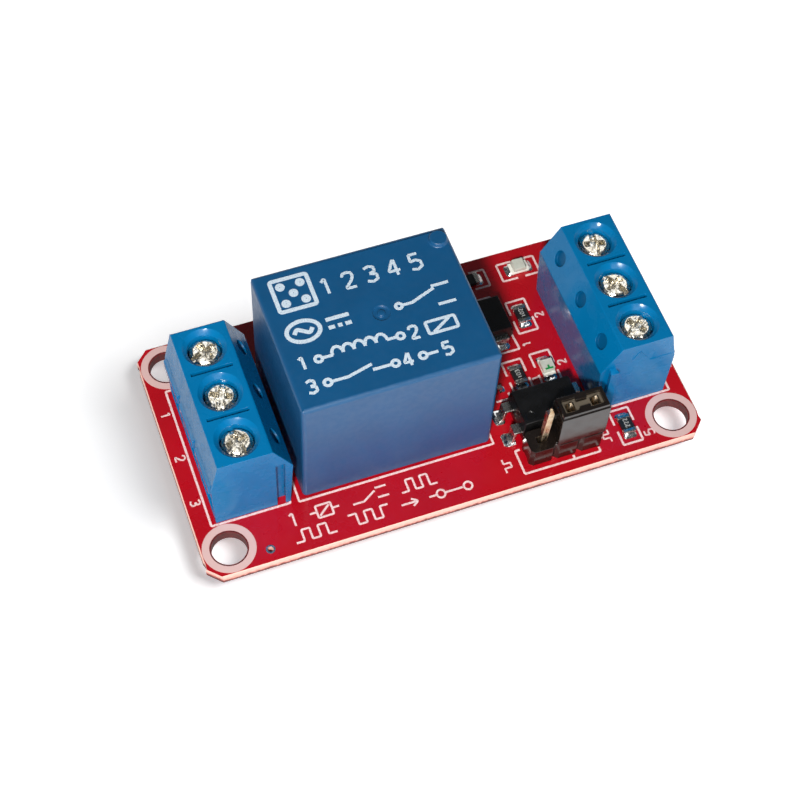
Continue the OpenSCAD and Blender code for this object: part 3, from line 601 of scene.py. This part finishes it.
def in_pocket(centre):
    """True inside the three round pockets of a block's sloping back, which lie below the plane of the slope."""
    x, z = abs(centre.x) - slope_middle[0], centre.z - slope_middle[1]
    outward = z * slope_up[0] - x * slope_up[1]
    along = x * slope_up[0] + z * slope_up[1]
    pole = min(poles, key=lambda y: abs(y - centre.y))
    return -0.4 * MM < outward < -0.01 * MM and math.hypot(along, centre.y - pole) < 0.85 * MM


for side in ("load", "control"):
    node = f"{side}_terminal_housing"
    bm = round_by_weight(clean_copy(node), block_width)
    # faces inside the slope pockets take the second finish, the darker blue of painted shade
    for face in bm.faces:
        face.material_index = int(in_pocket(face.calc_center_median()))
    print(node, "pocket faces:", sum(face.material_index for face in bm.faces))
    dress(node, bm, (terminal_blue, pocket_painted_shade))

# %% Other mouldings
soften("relay_case", relay_blue, 0.06)
soften("header_strip", black_moulding, 0.02, 1)
soften("jumper_cap_shell", black_moulding, 0.05, body="jumper")
soften("optocoupler_body", package_black, 0.05)
soften("diode_body", package_black, 0.05)
soften("transistor_body", chip_black, 0.03)

# %% [markdown]
# ## Screws and metal parts
# The screw heads are small pressings with a cross and a slot. Tumbling and plating dent them, so each head is
# remeshed into small even faces and pushed about by noise. Clamps, contacts, pins and leads are cut from strip or
# wire and only need soft edges.

# %% Crumpled screw
def crumple(node, cell=0.06, depth=0.05, grain=0.62, head=1.6, blend=0.6):
    """The screw as a fine even mesh whose head is dented by noise, as a pressed and tumbled head is. Lengths in mm:
    the dents fade out over `blend`, down to `head` below the top."""
    even = modified(as_mesh(node, clean_copy(node)), "REMESH", {"mode": "VOXEL", "voxel_size": cell * MM})
    bm = as_bmesh(even)
    bm.normal_update()
    top_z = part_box(node)[1].z
    moves = {}
    for v in bm.verts:
        share = max(0.0, min(1.0, (v.co.z - top_z + head * MM) / (blend * MM)))
        place = v.co / (grain * MM)
        dent = noise.noise(place) + 0.6 * noise.noise(place * 2.3)
        moves[v] = v.normal * (dent - 0.25) * depth * MM * share
    for v, move in moves.items():
        v.co += move
    print(node, "has", len(bm.faces), "faces")
    dress(node, bm, (zinc,), node, sharp=30)


# %% Metal parts
for side in ("load", "control"):
    for n in (1, 2, 3):
        crumple(f"{side}_screw_{n}")
        soften(f"{side}_clamp_{n}", zinc, 0.05, body=f"{side}_clamp_{n}")
        soften(f"{side}_contact_{n}", tin, 0.04)
pins = [soften(f"header_pin_{n}", gold, 0.04) for n in (1, 2, 3)]
# the free pin was bent a little towards the cap
foot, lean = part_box("header_strip")[1].z, math.tan(math.radians(6.5))
for v in pins[0].data.vertices:
    v.co.x += max(0, v.co.z - foot) * lean
print("first pin leans to x =", round(max(v.co.x for v in pins[0].data.vertices) / MM, 2), "mm")
soften("jumper_cap_clip", clip_tin, 0.03, body="jumper")
soften("optocoupler_leads", tin, 0.05)
soften("diode_leads", tin, 0.04)
soften("transistor_leads", tin, 0.03)

# %% Chip resistors and lamps
def resistor_faces(node, glazed=0.6 * MM):
    """The glaze covers the middle, up to `glazed` on both sides, and the ends are plated."""
    low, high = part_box(node)
    axis = 0 if high.x - low.x > high.y - low.y else 1
    middle = (low[axis] + high[axis]) / 2
    return lambda centre, normal: int(abs(centre[axis] - middle) >= glazed)


for n in (1, 2, 3, 4):
    node = f"resistor_{n}"
    soften(node, chip_black, 0.04, more=(tin,), pick=resistor_faces(node))
for n in (1, 2):
    soften(f"led_{n}_base", carrier_white, 0.04)
    soften(f"led_{n}_lens", resin, 0.06)

# %% [markdown]
# ## Inside the relay
# The case hides the coil, the armature and the contacts. Their solids are good enough as they are, so they only get
# finishes: iron, copper wire, spring copper, silver and brass.

# %% Inner parts of the relay
inside = ((base_resin, "base"), (bobbin_cream, "bobbin"), (winding_wire, "winding"), (iron, "core yoke armature"),
          (leaf_copper, "contact_blade"), (silver_rivet, "moving_contact"), (tin, "coil_pin_front coil_pin_back"),
          (brass_strap, "normally_closed_contact normally_open_contact common_pin"))
for look, names in inside:
    for name in names.split():
        mesh = frame["nodes"]["relay_" + name].data
        mesh.materials.clear()
        mesh.materials.append(look.mat)
    print(look.mat.name + ":", names)

# %% [markdown]
# ## Two node trees
# Printed lines, rings and tracks all follow a path, so one tree makes them: it turns loose edges into curves,
# rounds their corners as a round printing aperture would, and sweeps a flat strip along them. Solder joints are one
# shape that is repeated at different places, turns and sizes, so a second tree sets a shape on points. Both end in
# Realize Instances and Set Material, and the result becomes a plain mesh.

# %% Helpers for node trees
def new_tree(name, *sockets):
    tree = bpy.data.node_groups.new(name, "GeometryNodeTree")
    for label, kind in (("Geometry", "Geometry"), *sockets):
        tree.interface.new_socket(label, in_out="INPUT", socket_type="NodeSocket" + kind)
    tree.interface.new_socket("Geometry", in_out="OUTPUT", socket_type="NodeSocketGeometry")
    return tree, tree.nodes.new("NodeGroupInput").outputs, tree.nodes.new("NodeGroupOutput").inputs


def add_node(tree, kind):
    return tree.nodes.new("GeometryNode" + kind)


def close_tree(tree, geometry, given, out):
    """Every tree ends in real geometry with a material on it."""
    real, paint = add_node(tree, "RealizeInstances"), add_node(tree, "SetMaterial")
    tree.links.new(geometry, real.inputs["Geometry"])
    tree.links.new(real.outputs["Geometry"], paint.inputs["Geometry"])
    tree.links.new(given["Material"], paint.inputs["Material"])
    tree.links.new(paint.outputs["Geometry"], out["Geometry"])


def run_tree(tree, mesh, **values):
    """Runs the tree on a mesh. Its inputs are set by the sockets' identifiers."""
    inputs = [(item.identifier, values[item.name]) for item in tree.interface.items_tree
              if item.in_out == "INPUT" and item.name in values]
    return modified(mesh, "NODES", {"node_group": tree}, inputs)


def mesh_piece(name, mesh, nodes=()):
    """A tree's result becomes a piece after its doubled and collapsed corners are merged."""
    bm = as_bmesh(mesh)
    bmesh.ops.remove_doubles(bm, verts=bm.verts, dist=0.001 * MM)
    bmesh.ops.dissolve_degenerate(bm, dist=0.001 * MM, edges=bm.edges)
    bmesh.ops.recalc_face_normals(bm, faces=bm.faces)
    bm.to_mesh(mesh)
    bm.free()
    print(name + ":", len(mesh.polygons), "faces")
    return add_piece(name, mesh, "module", nodes)


# %% Tree of strips
strips, given, out = new_tree("strips along paths", ("Width", "Float"), ("Thickness", "Float"), ("Corner", "Float"),
                              ("Material", "Material"))
link = strips.links.new
curve = add_node(strips, "MeshToCurve")
rounded = add_node(strips, "FilletCurve")
rounded.mode = "POLY"
rounded.inputs["Count"].default_value = 3
rounded.inputs["Limit Radius"].default_value = True
level_curve = add_node(strips, "SetCurveNormal")
level_curve.mode = "Z_UP"
section = add_node(strips, "CurvePrimitiveQuadrilateral")
sweep = add_node(strips, "CurveToMesh")
sweep.inputs["Fill Caps"].default_value = True
link(given["Geometry"], curve.inputs["Mesh"])
link(curve.outputs["Curve"], rounded.inputs["Curve"])
link(given["Corner"], rounded.inputs["Radius"])
link(rounded.outputs["Curve"], level_curve.inputs["Curve"])
link(level_curve.outputs["Curve"], sweep.inputs["Curve"])
link(given["Width"], section.inputs["Width"])
link(given["Thickness"], section.inputs["Height"])
link(section.outputs["Curve"], sweep.inputs["Profile Curve"])
close_tree(strips, sweep.outputs["Mesh"], given, out)


def draw(name, paths, width, look, z=None, thick=0.02, corner=None):
    """Sweeps strips along paths of (x, y) points at height z, or of (x, y, z) points. All values are in mm.
    A path that ends where it starts becomes a closed loop. Neighbouring strips differ by a hair in height, so that
    no two faces lie in one plane where strips cross."""
    points, edges = [], []
    for k, path in enumerate(paths):
        lift = 0 if z is None else z + thick / 2 + 0.002 * (k % 4)
        flat = [(*p, lift) if len(p) == 2 else p for p in path]
        closed = flat[0] == flat[-1]
        first = len(points)
        points += [Vector(p) * MM for p in (flat[:-1] if closed else flat)]
        edges += [(i, i + 1) for i in range(first, len(points) - 1)]
        if closed:
            edges.append((len(points) - 1, first))
    mesh = bpy.data.meshes.new(name)
    mesh.from_pydata(points, edges, [])
    corner = width / 2 if corner is None else corner
    done = run_tree(strips, mesh, Width=width * MM, Thickness=thick * MM, Corner=corner * MM, Material=look.mat)
    return mesh_piece(name, done)


# %% Tree of shapes on points
joints, given, out = new_tree("shapes on points", ("Shape", "Object"), ("Material", "Material"))
link = joints.links.new
shape = add_node(joints, "ObjectInfo")
shape.transform_space = "ORIGINAL"
placed = add_node(joints, "InstanceOnPoints")
link(given["Geometry"], placed.inputs["Points"])
link(given["Shape"], shape.inputs["Object"])
link(shape.outputs["Geometry"], placed.inputs["Instance"])
for label, socket in (("Turn", "Rotation"), ("Size", "Scale")):
    stored = add_node(joints, "InputNamedAttribute")
    stored.data_type = "FLOAT_VECTOR"
    stored.inputs["Name"].default_value = label
    link(stored.outputs["Attribute"], placed.inputs[socket])
close_tree(joints, placed.outputs["Instances"], given, out)


def set_on_points(name, bm, places, look, nodes=()):
    """Repeats a unit shape. A place is (point, turn about Z in degrees, size), in mm."""
    source = bpy.data.objects.new(name + "_unit", as_mesh(name + "_unit", bm))
    mesh = bpy.data.meshes.new(name)
    mesh.from_pydata([Vector(p) * MM for p, turn, size in places], [], [])
    turns = mesh.attributes.new("Turn", "FLOAT_VECTOR", "POINT")
    sizes = mesh.attributes.new("Size", "FLOAT_VECTOR", "POINT")
    for k, (p, turn, size) in enumerate(places):
        turns.data[k].vector = (0, 0, math.radians(turn))
        sizes.data[k].vector = Vector(size) * MM
    done = run_tree(joints, mesh, Shape=source, Material=look.mat)
    bpy.data.objects.remove(source)
    return mesh_piece(name, done, nodes)


print("trees:", [t.name for t in bpy.data.node_groups])

# %% [markdown]
# ## Solder
# Molten solder climbs a metal end and falls away in a hollow curve, so each surface joint is a puddle that is high
# at the part and thin at the pad's edge. Under the board each pin stands in a hollow cone.

# %% Solder joints
def islands(node):
    """The boxes of a node's separate solids, in mm."""
    bm = as_bmesh(frame["nodes"][node].data)
    bmesh.ops.remove_doubles(bm, verts=bm.verts, dist=0.001 * MM)
    seen, boxes = set(), []
    for start in bm.verts:
        if start in seen:
            continue
        seen.add(start)
        group, row = [], [start]
        while row:
            v = row.pop()
            group.append(v.co / MM)
            for w in (e.other_vert(v) for e in v.link_edges):
                if w not in seen:
                    seen.add(w)
                    row.append(w)
        boxes.append([Vector(f(p[i] for p in group) for i in range(3)) for f in (min, max)])
    bm.free()
    return boxes


def puddle(cells=10):
    """Unit puddle: x from the part (0) to the pad's edge (1), y from -0.5 to 0.5, height up to 1."""
    bm = bmesh.new()
    rows = []
    for i in range(cells + 1):
        x = i / cells
        half = 0.5 * (1 - 0.30 * max(0.0, (x - 0.7) / 0.3) ** 2)
        fall = 1 if x < 0.45 else (1 - (x - 0.45) / 0.55) ** 1.7
        row = []
        for j in range(cells + 1):
            y = j / cells * 2 - 1
            side = 1 - abs(y) ** 4
            row.append(bm.verts.new((x, y * half, 0.06 + 0.94 * (0.15 + 0.85 * fall) * side * (1 - x ** 8))))
        rows.append(row)
    for i in range(cells):
        for j in range(cells):
            bm.faces.new((rows[i][j], rows[i + 1][j], rows[i + 1][j + 1], rows[i][j + 1]))
    rim = [e for e in bm.edges if e.is_boundary]
    down = bmesh.ops.extrude_edge_only(bm, edges=rim)
    for v in (g for g in down["geom"] if isinstance(g, bmesh.types.BMVert)):
        v.co.z = 0
    bmesh.ops.holes_fill(bm, edges=[e for e in bm.edges if e.is_boundary], sides=0)
    bmesh.ops.recalc_face_normals(bm, faces=bm.faces)
    return bm


def cone(rings=((1, 0), (0.98, 0.05), (0.72, 0.16), (0.52, 0.34), (0.42, 0.6), (0.36, 0.85), (0.30, 1)), sides=28):
    """Unit hollow cone that hangs down from the board, radius 1, height 1."""
    bm = bmesh.new()
    loops = [[bm.verts.new((r * math.cos(t), r * math.sin(t), -h)) for t in
              (2 * math.pi * k / sides for k in range(sides))] for r, h in rings]
    for low, high in zip(loops, loops[1:]):
        for k in range(sides):
            bm.faces.new((low[k], low[(k + 1) % sides], high[(k + 1) % sides], high[k]))
    bm.faces.new(loops[0])
    bm.faces.new(loops[-1][::-1])
    bmesh.ops.recalc_face_normals(bm, faces=bm.faces)
    return bm


parts = ["resistor_1", "resistor_2", "resistor_3", "resistor_4", "led_1_base", "led_2_base", "optocoupler_body",
         "diode_body", "transistor_body"]
middles = [sum(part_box(n), Vector()) / 2 / MM for n in parts]
places = []
for low, high in islands("surface_solder"):
    middle, size = (low + high) / 2, high - low
    away = min((middle - m for m in middles), key=lambda d: d.xy.length)
    if abs(away.x) > abs(away.y):
        turn, length, width = (0 if away.x > 0 else 180), size.x, size.y
    else:
        turn, length, width = (90 if away.y > 0 else 270), size.y, size.x
    step = Vector((math.cos(math.radians(turn)), math.sin(math.radians(turn)), 0))
    start = Vector((middle.x, middle.y, board_top / MM)) - step * length / 2
    places.append((start, turn, (length, width, size.z)))
set_on_points("surface_joints", puddle(), places, solder, ("surface_solder",))

places = []
for low, high in islands("through_hole_solder"):
    middle = (low + high) / 2
    places.append(((middle.x, middle.y, 0), 0, ((high.x - low.x) / 2, (high.y - low.y) / 2, high.z - low.z)))
set_on_points("through_joints", cone(), places, solder, ("through_hole_solder",))

# %% [markdown]
# ## Print on the board
# The white print frames each part. It is pulled through a screen in lines of one width with round ends. Where a
# real board carries words, this one has plain numbers and wave or contact symbols that belong to no maker.

# %% Stroke figures
FIGURES = {
    "0": [[(.3, 1), (.06, .86), (0, .5), (.06, .14), (.3, 0), (.54, .14), (.6, .5), (.54, .86), (.3, 1)]],
    "1": [[(.12, .78), (.34, 1), (.34, 0)]],
    "2": [[(.02, .76), (.1, .95), (.32, 1), (.54, .92), (.58, .7), (.46, .46), (.02, 0), (.6, 0)]],
    "3": [[(.02, .9), (.3, 1), (.54, .9), (.54, .62), (.24, .53)],
          [(.24, .53), (.58, .42), (.58, .12), (.3, 0), (0, .1)]],
    "4": [[(.44, 0), (.44, 1)], [(.4, 1), (0, .3), (.64, .3)]],
    "5": [[(.54, 1), (.08, 1), (.04, .55), (.34, .62), (.58, .48), (.58, .16), (.3, 0), (0, .08)]],
}


def figures(text, x, y, tall, turn=0, pitch=0.84):
    """Paths of a row of figures whose first one has its lower left corner at (x, y), turned by `turn` degrees."""
    c, t = math.cos(math.radians(turn)), math.sin(math.radians(turn))
    paths = []
    for k, sign in enumerate(text):
        for stroke in FIGURES.get(sign, ()):
            flat = [((u + k * pitch) * tall, v * tall) for u, v in stroke]
            paths.append([(x + u * c - v * t, y + u * t + v * c) for u, v in flat])
    return paths


def circle(x, y, r, sides=32, squash=1):
    ring = [(x + r * math.cos(2 * math.pi * k / sides), y + r * squash * math.sin(2 * math.pi * k / sides))
            for k in range(sides)]
    return ring + ring[:1]


def box_path(x0, y0, x1, y1):
    return [(x0, y0), (x0, y1), (x1, y1), (x1, y0), (x0, y0)]


def brackets(x, y, half_x, half_y, gap):
    """Two facing brackets round a part, open by `gap` in the middle of the long sides."""
    wide = half_x > half_y
    far, side = (half_x, half_y) if wide else (half_y, half_x)
    paths = [[(s * gap / 2, -side), (s * far, -side), (s * far, side), (s * gap / 2, side)] for s in (-1, 1)]
    return [[(x + u, y + v) if wide else (x + v, y + u) for u, v in path] for path in paths]


def middle_of(node):
    low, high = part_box(node)
    return (low.x + high.x) / 2 / MM, (low.y + high.y) / 2 / MM


# %% Lines on the board
top = board_top / MM
frames = [
    [(-15.75, -7.35), (-15.75, -7.8), (-23.5, -7.8), (-23.5, 7.8), (-15.75, 7.8)],
    [(23.65, 7.8), (23.65, -7.75), (14.9, -7.75)],
    [(-14.9, -7.95), (4.85, -7.95), (4.85, 8.05), (-14.9, 8.05), (-14.9, -7.95)],
    [(7.0, -9.4), (6.5, -9.4), (6.5, -12.05), (14.4, -12.05), (14.4, -11.55)], [(11.7, -12.05), (11.7, -11.6)],
    [(8.2, 5.8), (8.3, 7.6), (8.75, 8.25), (10.75, 8.25), (11.2, 7.6), (11.35, 5.8)],
    [(8.3, 3.8), (8.2, 1.45), (11.35, 1.45), (11.2, 3.8)],
    [(6.84, -3.67), (8.35, -3.67), (8.35, -3.0)], [(6.84, 0.35), (8.35, 0.35), (8.35, -0.1)],
]
for node in ("resistor_1", "resistor_2", "resistor_4"):
    frames += brackets(*middle_of(node), 1.02, 1.95, 0.75)
for node, half_x, half_y, gap in (("resistor_3", 1.98, 1.05, 0.75), ("led_1_base", 2.02, 1.07, 0.8),
                                  ("led_2_base", 1.02, 2.06, 0.9)):
    frames += brackets(*middle_of(node), half_x, half_y, gap)
draw("board_frames", frames, 0.22, board_print, top)

signs = []
for n, y in ((1, 5.5), (2, 0.42), (3, -4.66)):
    signs += figures(str(n), -24.7, y, 0.92, -90)
    signs += figures(str(n), 25.0, y - 0.7, 0.9, 90)
for sign, x, y, tall in (("2", 15.2, 4.4, 0.85), ("1", 12.65, 1.5, 0.85), ("1", 11.85, -2.5, 0.7),
                         ("2", 15.2, -1.6, 0.85), ("5", 20.3, -11.9, 1.0)):
    signs += figures(sign, x, y, tall, 90)
signs += [[(4.9, -11.4), (4.9, -10.9), (5.6, -10.9), (5.6, -10.4), (4.9, -10.4), (4.9, -9.9)],
          [(15.9, -11.4), (15.9, -10.95), (15.25, -10.95), (15.25, -10.5), (15.9, -10.5), (15.9, -10.05)]]
draw("board_signs", signs, 0.17, board_print, top, corner=0.05)


def wave(x, y, step, tall, count, first_up):
    """A square wave of `count` levels, each `step` long."""
    path = []
    for k in range(count):
        level = y + (tall if (k % 2 == 0) == first_up else 0)
        path += [(x + k * step, level), (x + (k + 1) * step, level)]
    return path


symbols = figures("1", -16.5, -10.3, 1.5)
symbols += [[(-14.4, -9.55), (-13.7, -9.55)], box_path(-13.7, -10.2, -12.2, -8.9),
            [(-13.5, -10.0), (-12.4, -9.1)], [(-12.2, -9.55), (-11.5, -9.55)],
            [(-10.2, -9.9), (-9.1, -9.9), (-7.8, -9.1)], [(-7.7, -9.9), (-6.6, -9.9)], [(-7.7, -8.85), (-6.6, -8.85)],
            wave(-5.4, -10.2, 0.72, 1.25, 5, False)]
symbols += [wave(-16.5, -12.05, 0.8, 1.2, 5, False), wave(-11.1, -12.05, 0.8, 1.2, 5, True),
            [(-5.9, -11.45), (-4.3, -11.45)], [(-4.8, -11.05), (-4.2, -11.45), (-4.8, -11.85)],
            [(-3.1, -11.45), (-2.4, -11.45)], circle(-1.9, -11.45, 0.42, 16), [(-1.4, -11.45), (0.3, -11.45)],
            circle(0.85, -11.45, 0.42, 16)]
draw("board_symbols", symbols, 0.2, board_print, top)

# %% Rings
ring_radius, rim_radius = 2.2, 1.775
draw("hole_rings", [circle(*(hole / MM), ring_radius, 64) for hole in holes], 0.7, ring_print, top, 0.022, 0)
# a thin rim at each hole's edge takes the drilled walls' dark colour, which is painted shade
draw("hole_rims", [circle(*(hole / MM), rim_radius, 64) for hole in holes], 0.12, bore_wall_and_shade, top,
     0.01, 0)
via = (-19, -11.85)
for name, z in (("via_ring", top), ("via_ring_below", -0.03)):
    draw(name, [circle(*via, 0.37, 32)], 0.16, tin, z, 0.03, 0)

# %% [markdown]
# Under the board, wide copper tracks lie below the same lacquer. They join each pin to the next part and show as
# low ridges.

# %% Tracks under the board
tracks = [[(-17.3, -5.08), (-13.6, -5.6), (-11.95, -6.0)], [(-17.3, 0), (-12, 0), (-4, 0), (2.25, 0)],
          [(-17.3, 5.08), (-13.6, 5.6), (-11.95, 6.0)]]
draw("wide_tracks", tracks, 2.4, mask, -0.034, 0.03, 0.6)
thin = [[(0.25, -6), (3, -8.6), (6.5, -8.6), (8.5, -10.22)], [(0.25, 6), (4, 9.2), (13, 9.2), (17.3, 5.08)],
        [(17.3, 0), (13.4, -1.5), (11.04, -4.5), (11.04, -10.22)], [(13.58, -10.22), (17.3, -7.4), (17.3, -5.08)],
        [via, (-8, -11.85), (-3, -9.6), (-1, -7.4), (0.25, -6)]]
draw("thin_tracks", thin, 0.7, mask, -0.03, 0.026, 0.3)

# %% [markdown]
# ## Print on the relay's lid
# The lid of a relay shows its wiring. Here that is a pin plan, the coil between pins 1 and 2, and the changeover
# contact between pins 3, 4 and 5, in the chalky ink of a rubber-stamp print.

# %% Relay print
def bumps(x, y, r, count, steps=8):
    """A row of half circles, the sign for a coil."""
    turns = [math.pi * (1 - i / steps) for i in range(steps + 1)]
    return [[(x + r * (2 * k + 1) + r * math.cos(t), y + 1.5 * r * math.sin(t)) for t in turns] for k in range(count)]


def contact_dot(x, y):
    """The ring at the end of a line, for a pin."""
    return circle(x, y, 0.34, 14)


lid = relay_top / MM
plan = [box_path(-12.9, 3.0, -9.4, 6.5)]
plan += [circle(x, y, 0.25, 12) for x, y in ((-12.1, 5.7), (-12.1, 3.8), (-10.2, 5.7), (-10.2, 3.8), (-11.1, 4.75))]
plan += [circle(-11.55, 0.5, 1.55, 32, 0.72),
         [(-12.45, 0.35), (-12.1, 0.85), (-11.55, 0.5), (-11.0, 0.15), (-10.65, 0.65)], [(-9.3, 1.0), (-7.1, 1.0)]]
plan += [[(x, 0.1), (end, 0.1)] for x, end in ((-9.3, -8.7), (-8.4, -8.0), (-7.7, -7.1))]
draw("lid_plan", plan, 0.4, relay_print, lid, 0.02)

contact = [circle(-2.5, 0.35, 0.3, 14), [(-2.2, 0.35), (-1.2, 0.35), (1.2, 1.25)], [(1.0, 1.5), (2.7, 1.5)],
           [(1.0, -0.6), (2.7, -0.6)]]
coil = [contact_dot(-11.2, -2.75), [(-10.85, -2.75), (-9.85, -2.75)], [(-4.75, -2.75), (-3.8, -2.75)],
        *bumps(-9.9, -2.75, 0.52, 5), contact_dot(-3.45, -2.75), box_path(-0.9, -3.4, 1.9, -2.1),
        [(-0.4, -3.3), (1.4, -2.2)]]
changeover = [contact_dot(-11.2, -5.35), [(-10.85, -5.35), (-9.3, -5.35), (-6.9, -4.75)],
              [(-7.0, -5.35), (-5.2, -5.35)], contact_dot(-4.85, -5.35), [(-1.9, -5.35), (-0.8, -5.35)],
              contact_dot(-2.25, -5.35)]
draw("lid_wiring", contact + coil + changeover, 0.3, relay_print, lid, 0.02)

numbers = figures("1 2 3 4 5", -8.6, 3.65, 1.75, 0, 0.62)
for sign, x, y in (("1", -13.1, -3.4), ("2", -2.6, -3.4), ("3", -13.1, -6.0), ("4", -4.1, -6.0), ("5", -0.3, -6.0)):
    numbers += figures(sign, x, y, 1.35)
draw("lid_numbers", numbers, 0.28, relay_print, lid, 0.02, 0.08)

# %% [markdown]
# ## Small marks on the parts
# Three of the glazed resistors carry value figures, one lamp a green mark at its cathode, and the front end of the
# right block a fine raised line from its mould.

# %% Marks on chips and blocks
codes = []
for node, text in (("resistor_1", "103"), ("resistor_2", "102"), ("resistor_4", "222")):
    x, y = middle_of(node)
    codes += figures(text, x + 0.21, y - 0.47, 0.42, 90)
chip_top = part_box("resistor_1")[1].z / MM
draw("resistor_codes", codes, 0.075, chip_mark, chip_top, 0.008, 0.05)

x, y = middle_of("led_2_base")
lens_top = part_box("led_2_lens")[1].z / MM
draw("lamp_marks", [[(x - 0.42, y - 0.55), (x + 0.42, y - 0.55)], [(x, y - 0.55), (x, y - 0.15)]], 0.2, green_mark,
     lens_top, 0.012)
end = -7.62
draw("block_mould_line", [[(18.49, end, top + 7.73), (19.11, end, top + 8.9), (20.39, end, top + 6.94),
                           (22.6, end, top + 6.93)]], 0.09, terminal_blue, None, 0.13, 0.03)

# %% [markdown]
# ## A reflector for the metal
# Bright metal shows its surroundings, and over a dark studio it would look black. A pale card, a square lamp,
# stands where the screws, pins and solder joints mirror it. Light linking lets it light only these, not the plastics.

# %% Card for the metal
card = soft_box("metal_card", azimuth=150, elevation=58, distance=0.5, size=0.30, power=0.42)
group = bpy.data.collections.new("metal_card_and_metal")
for piece in scene.objects:
    if any(word in piece.name for word in ("screw", "header_pin", "joints")):
        group.objects.link(piece)
card.light_linking.receiver_collection = group

# %% Finish
low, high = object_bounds()
print("dressed size:", [round(v / MM, 2) for v in high - low], "mm")
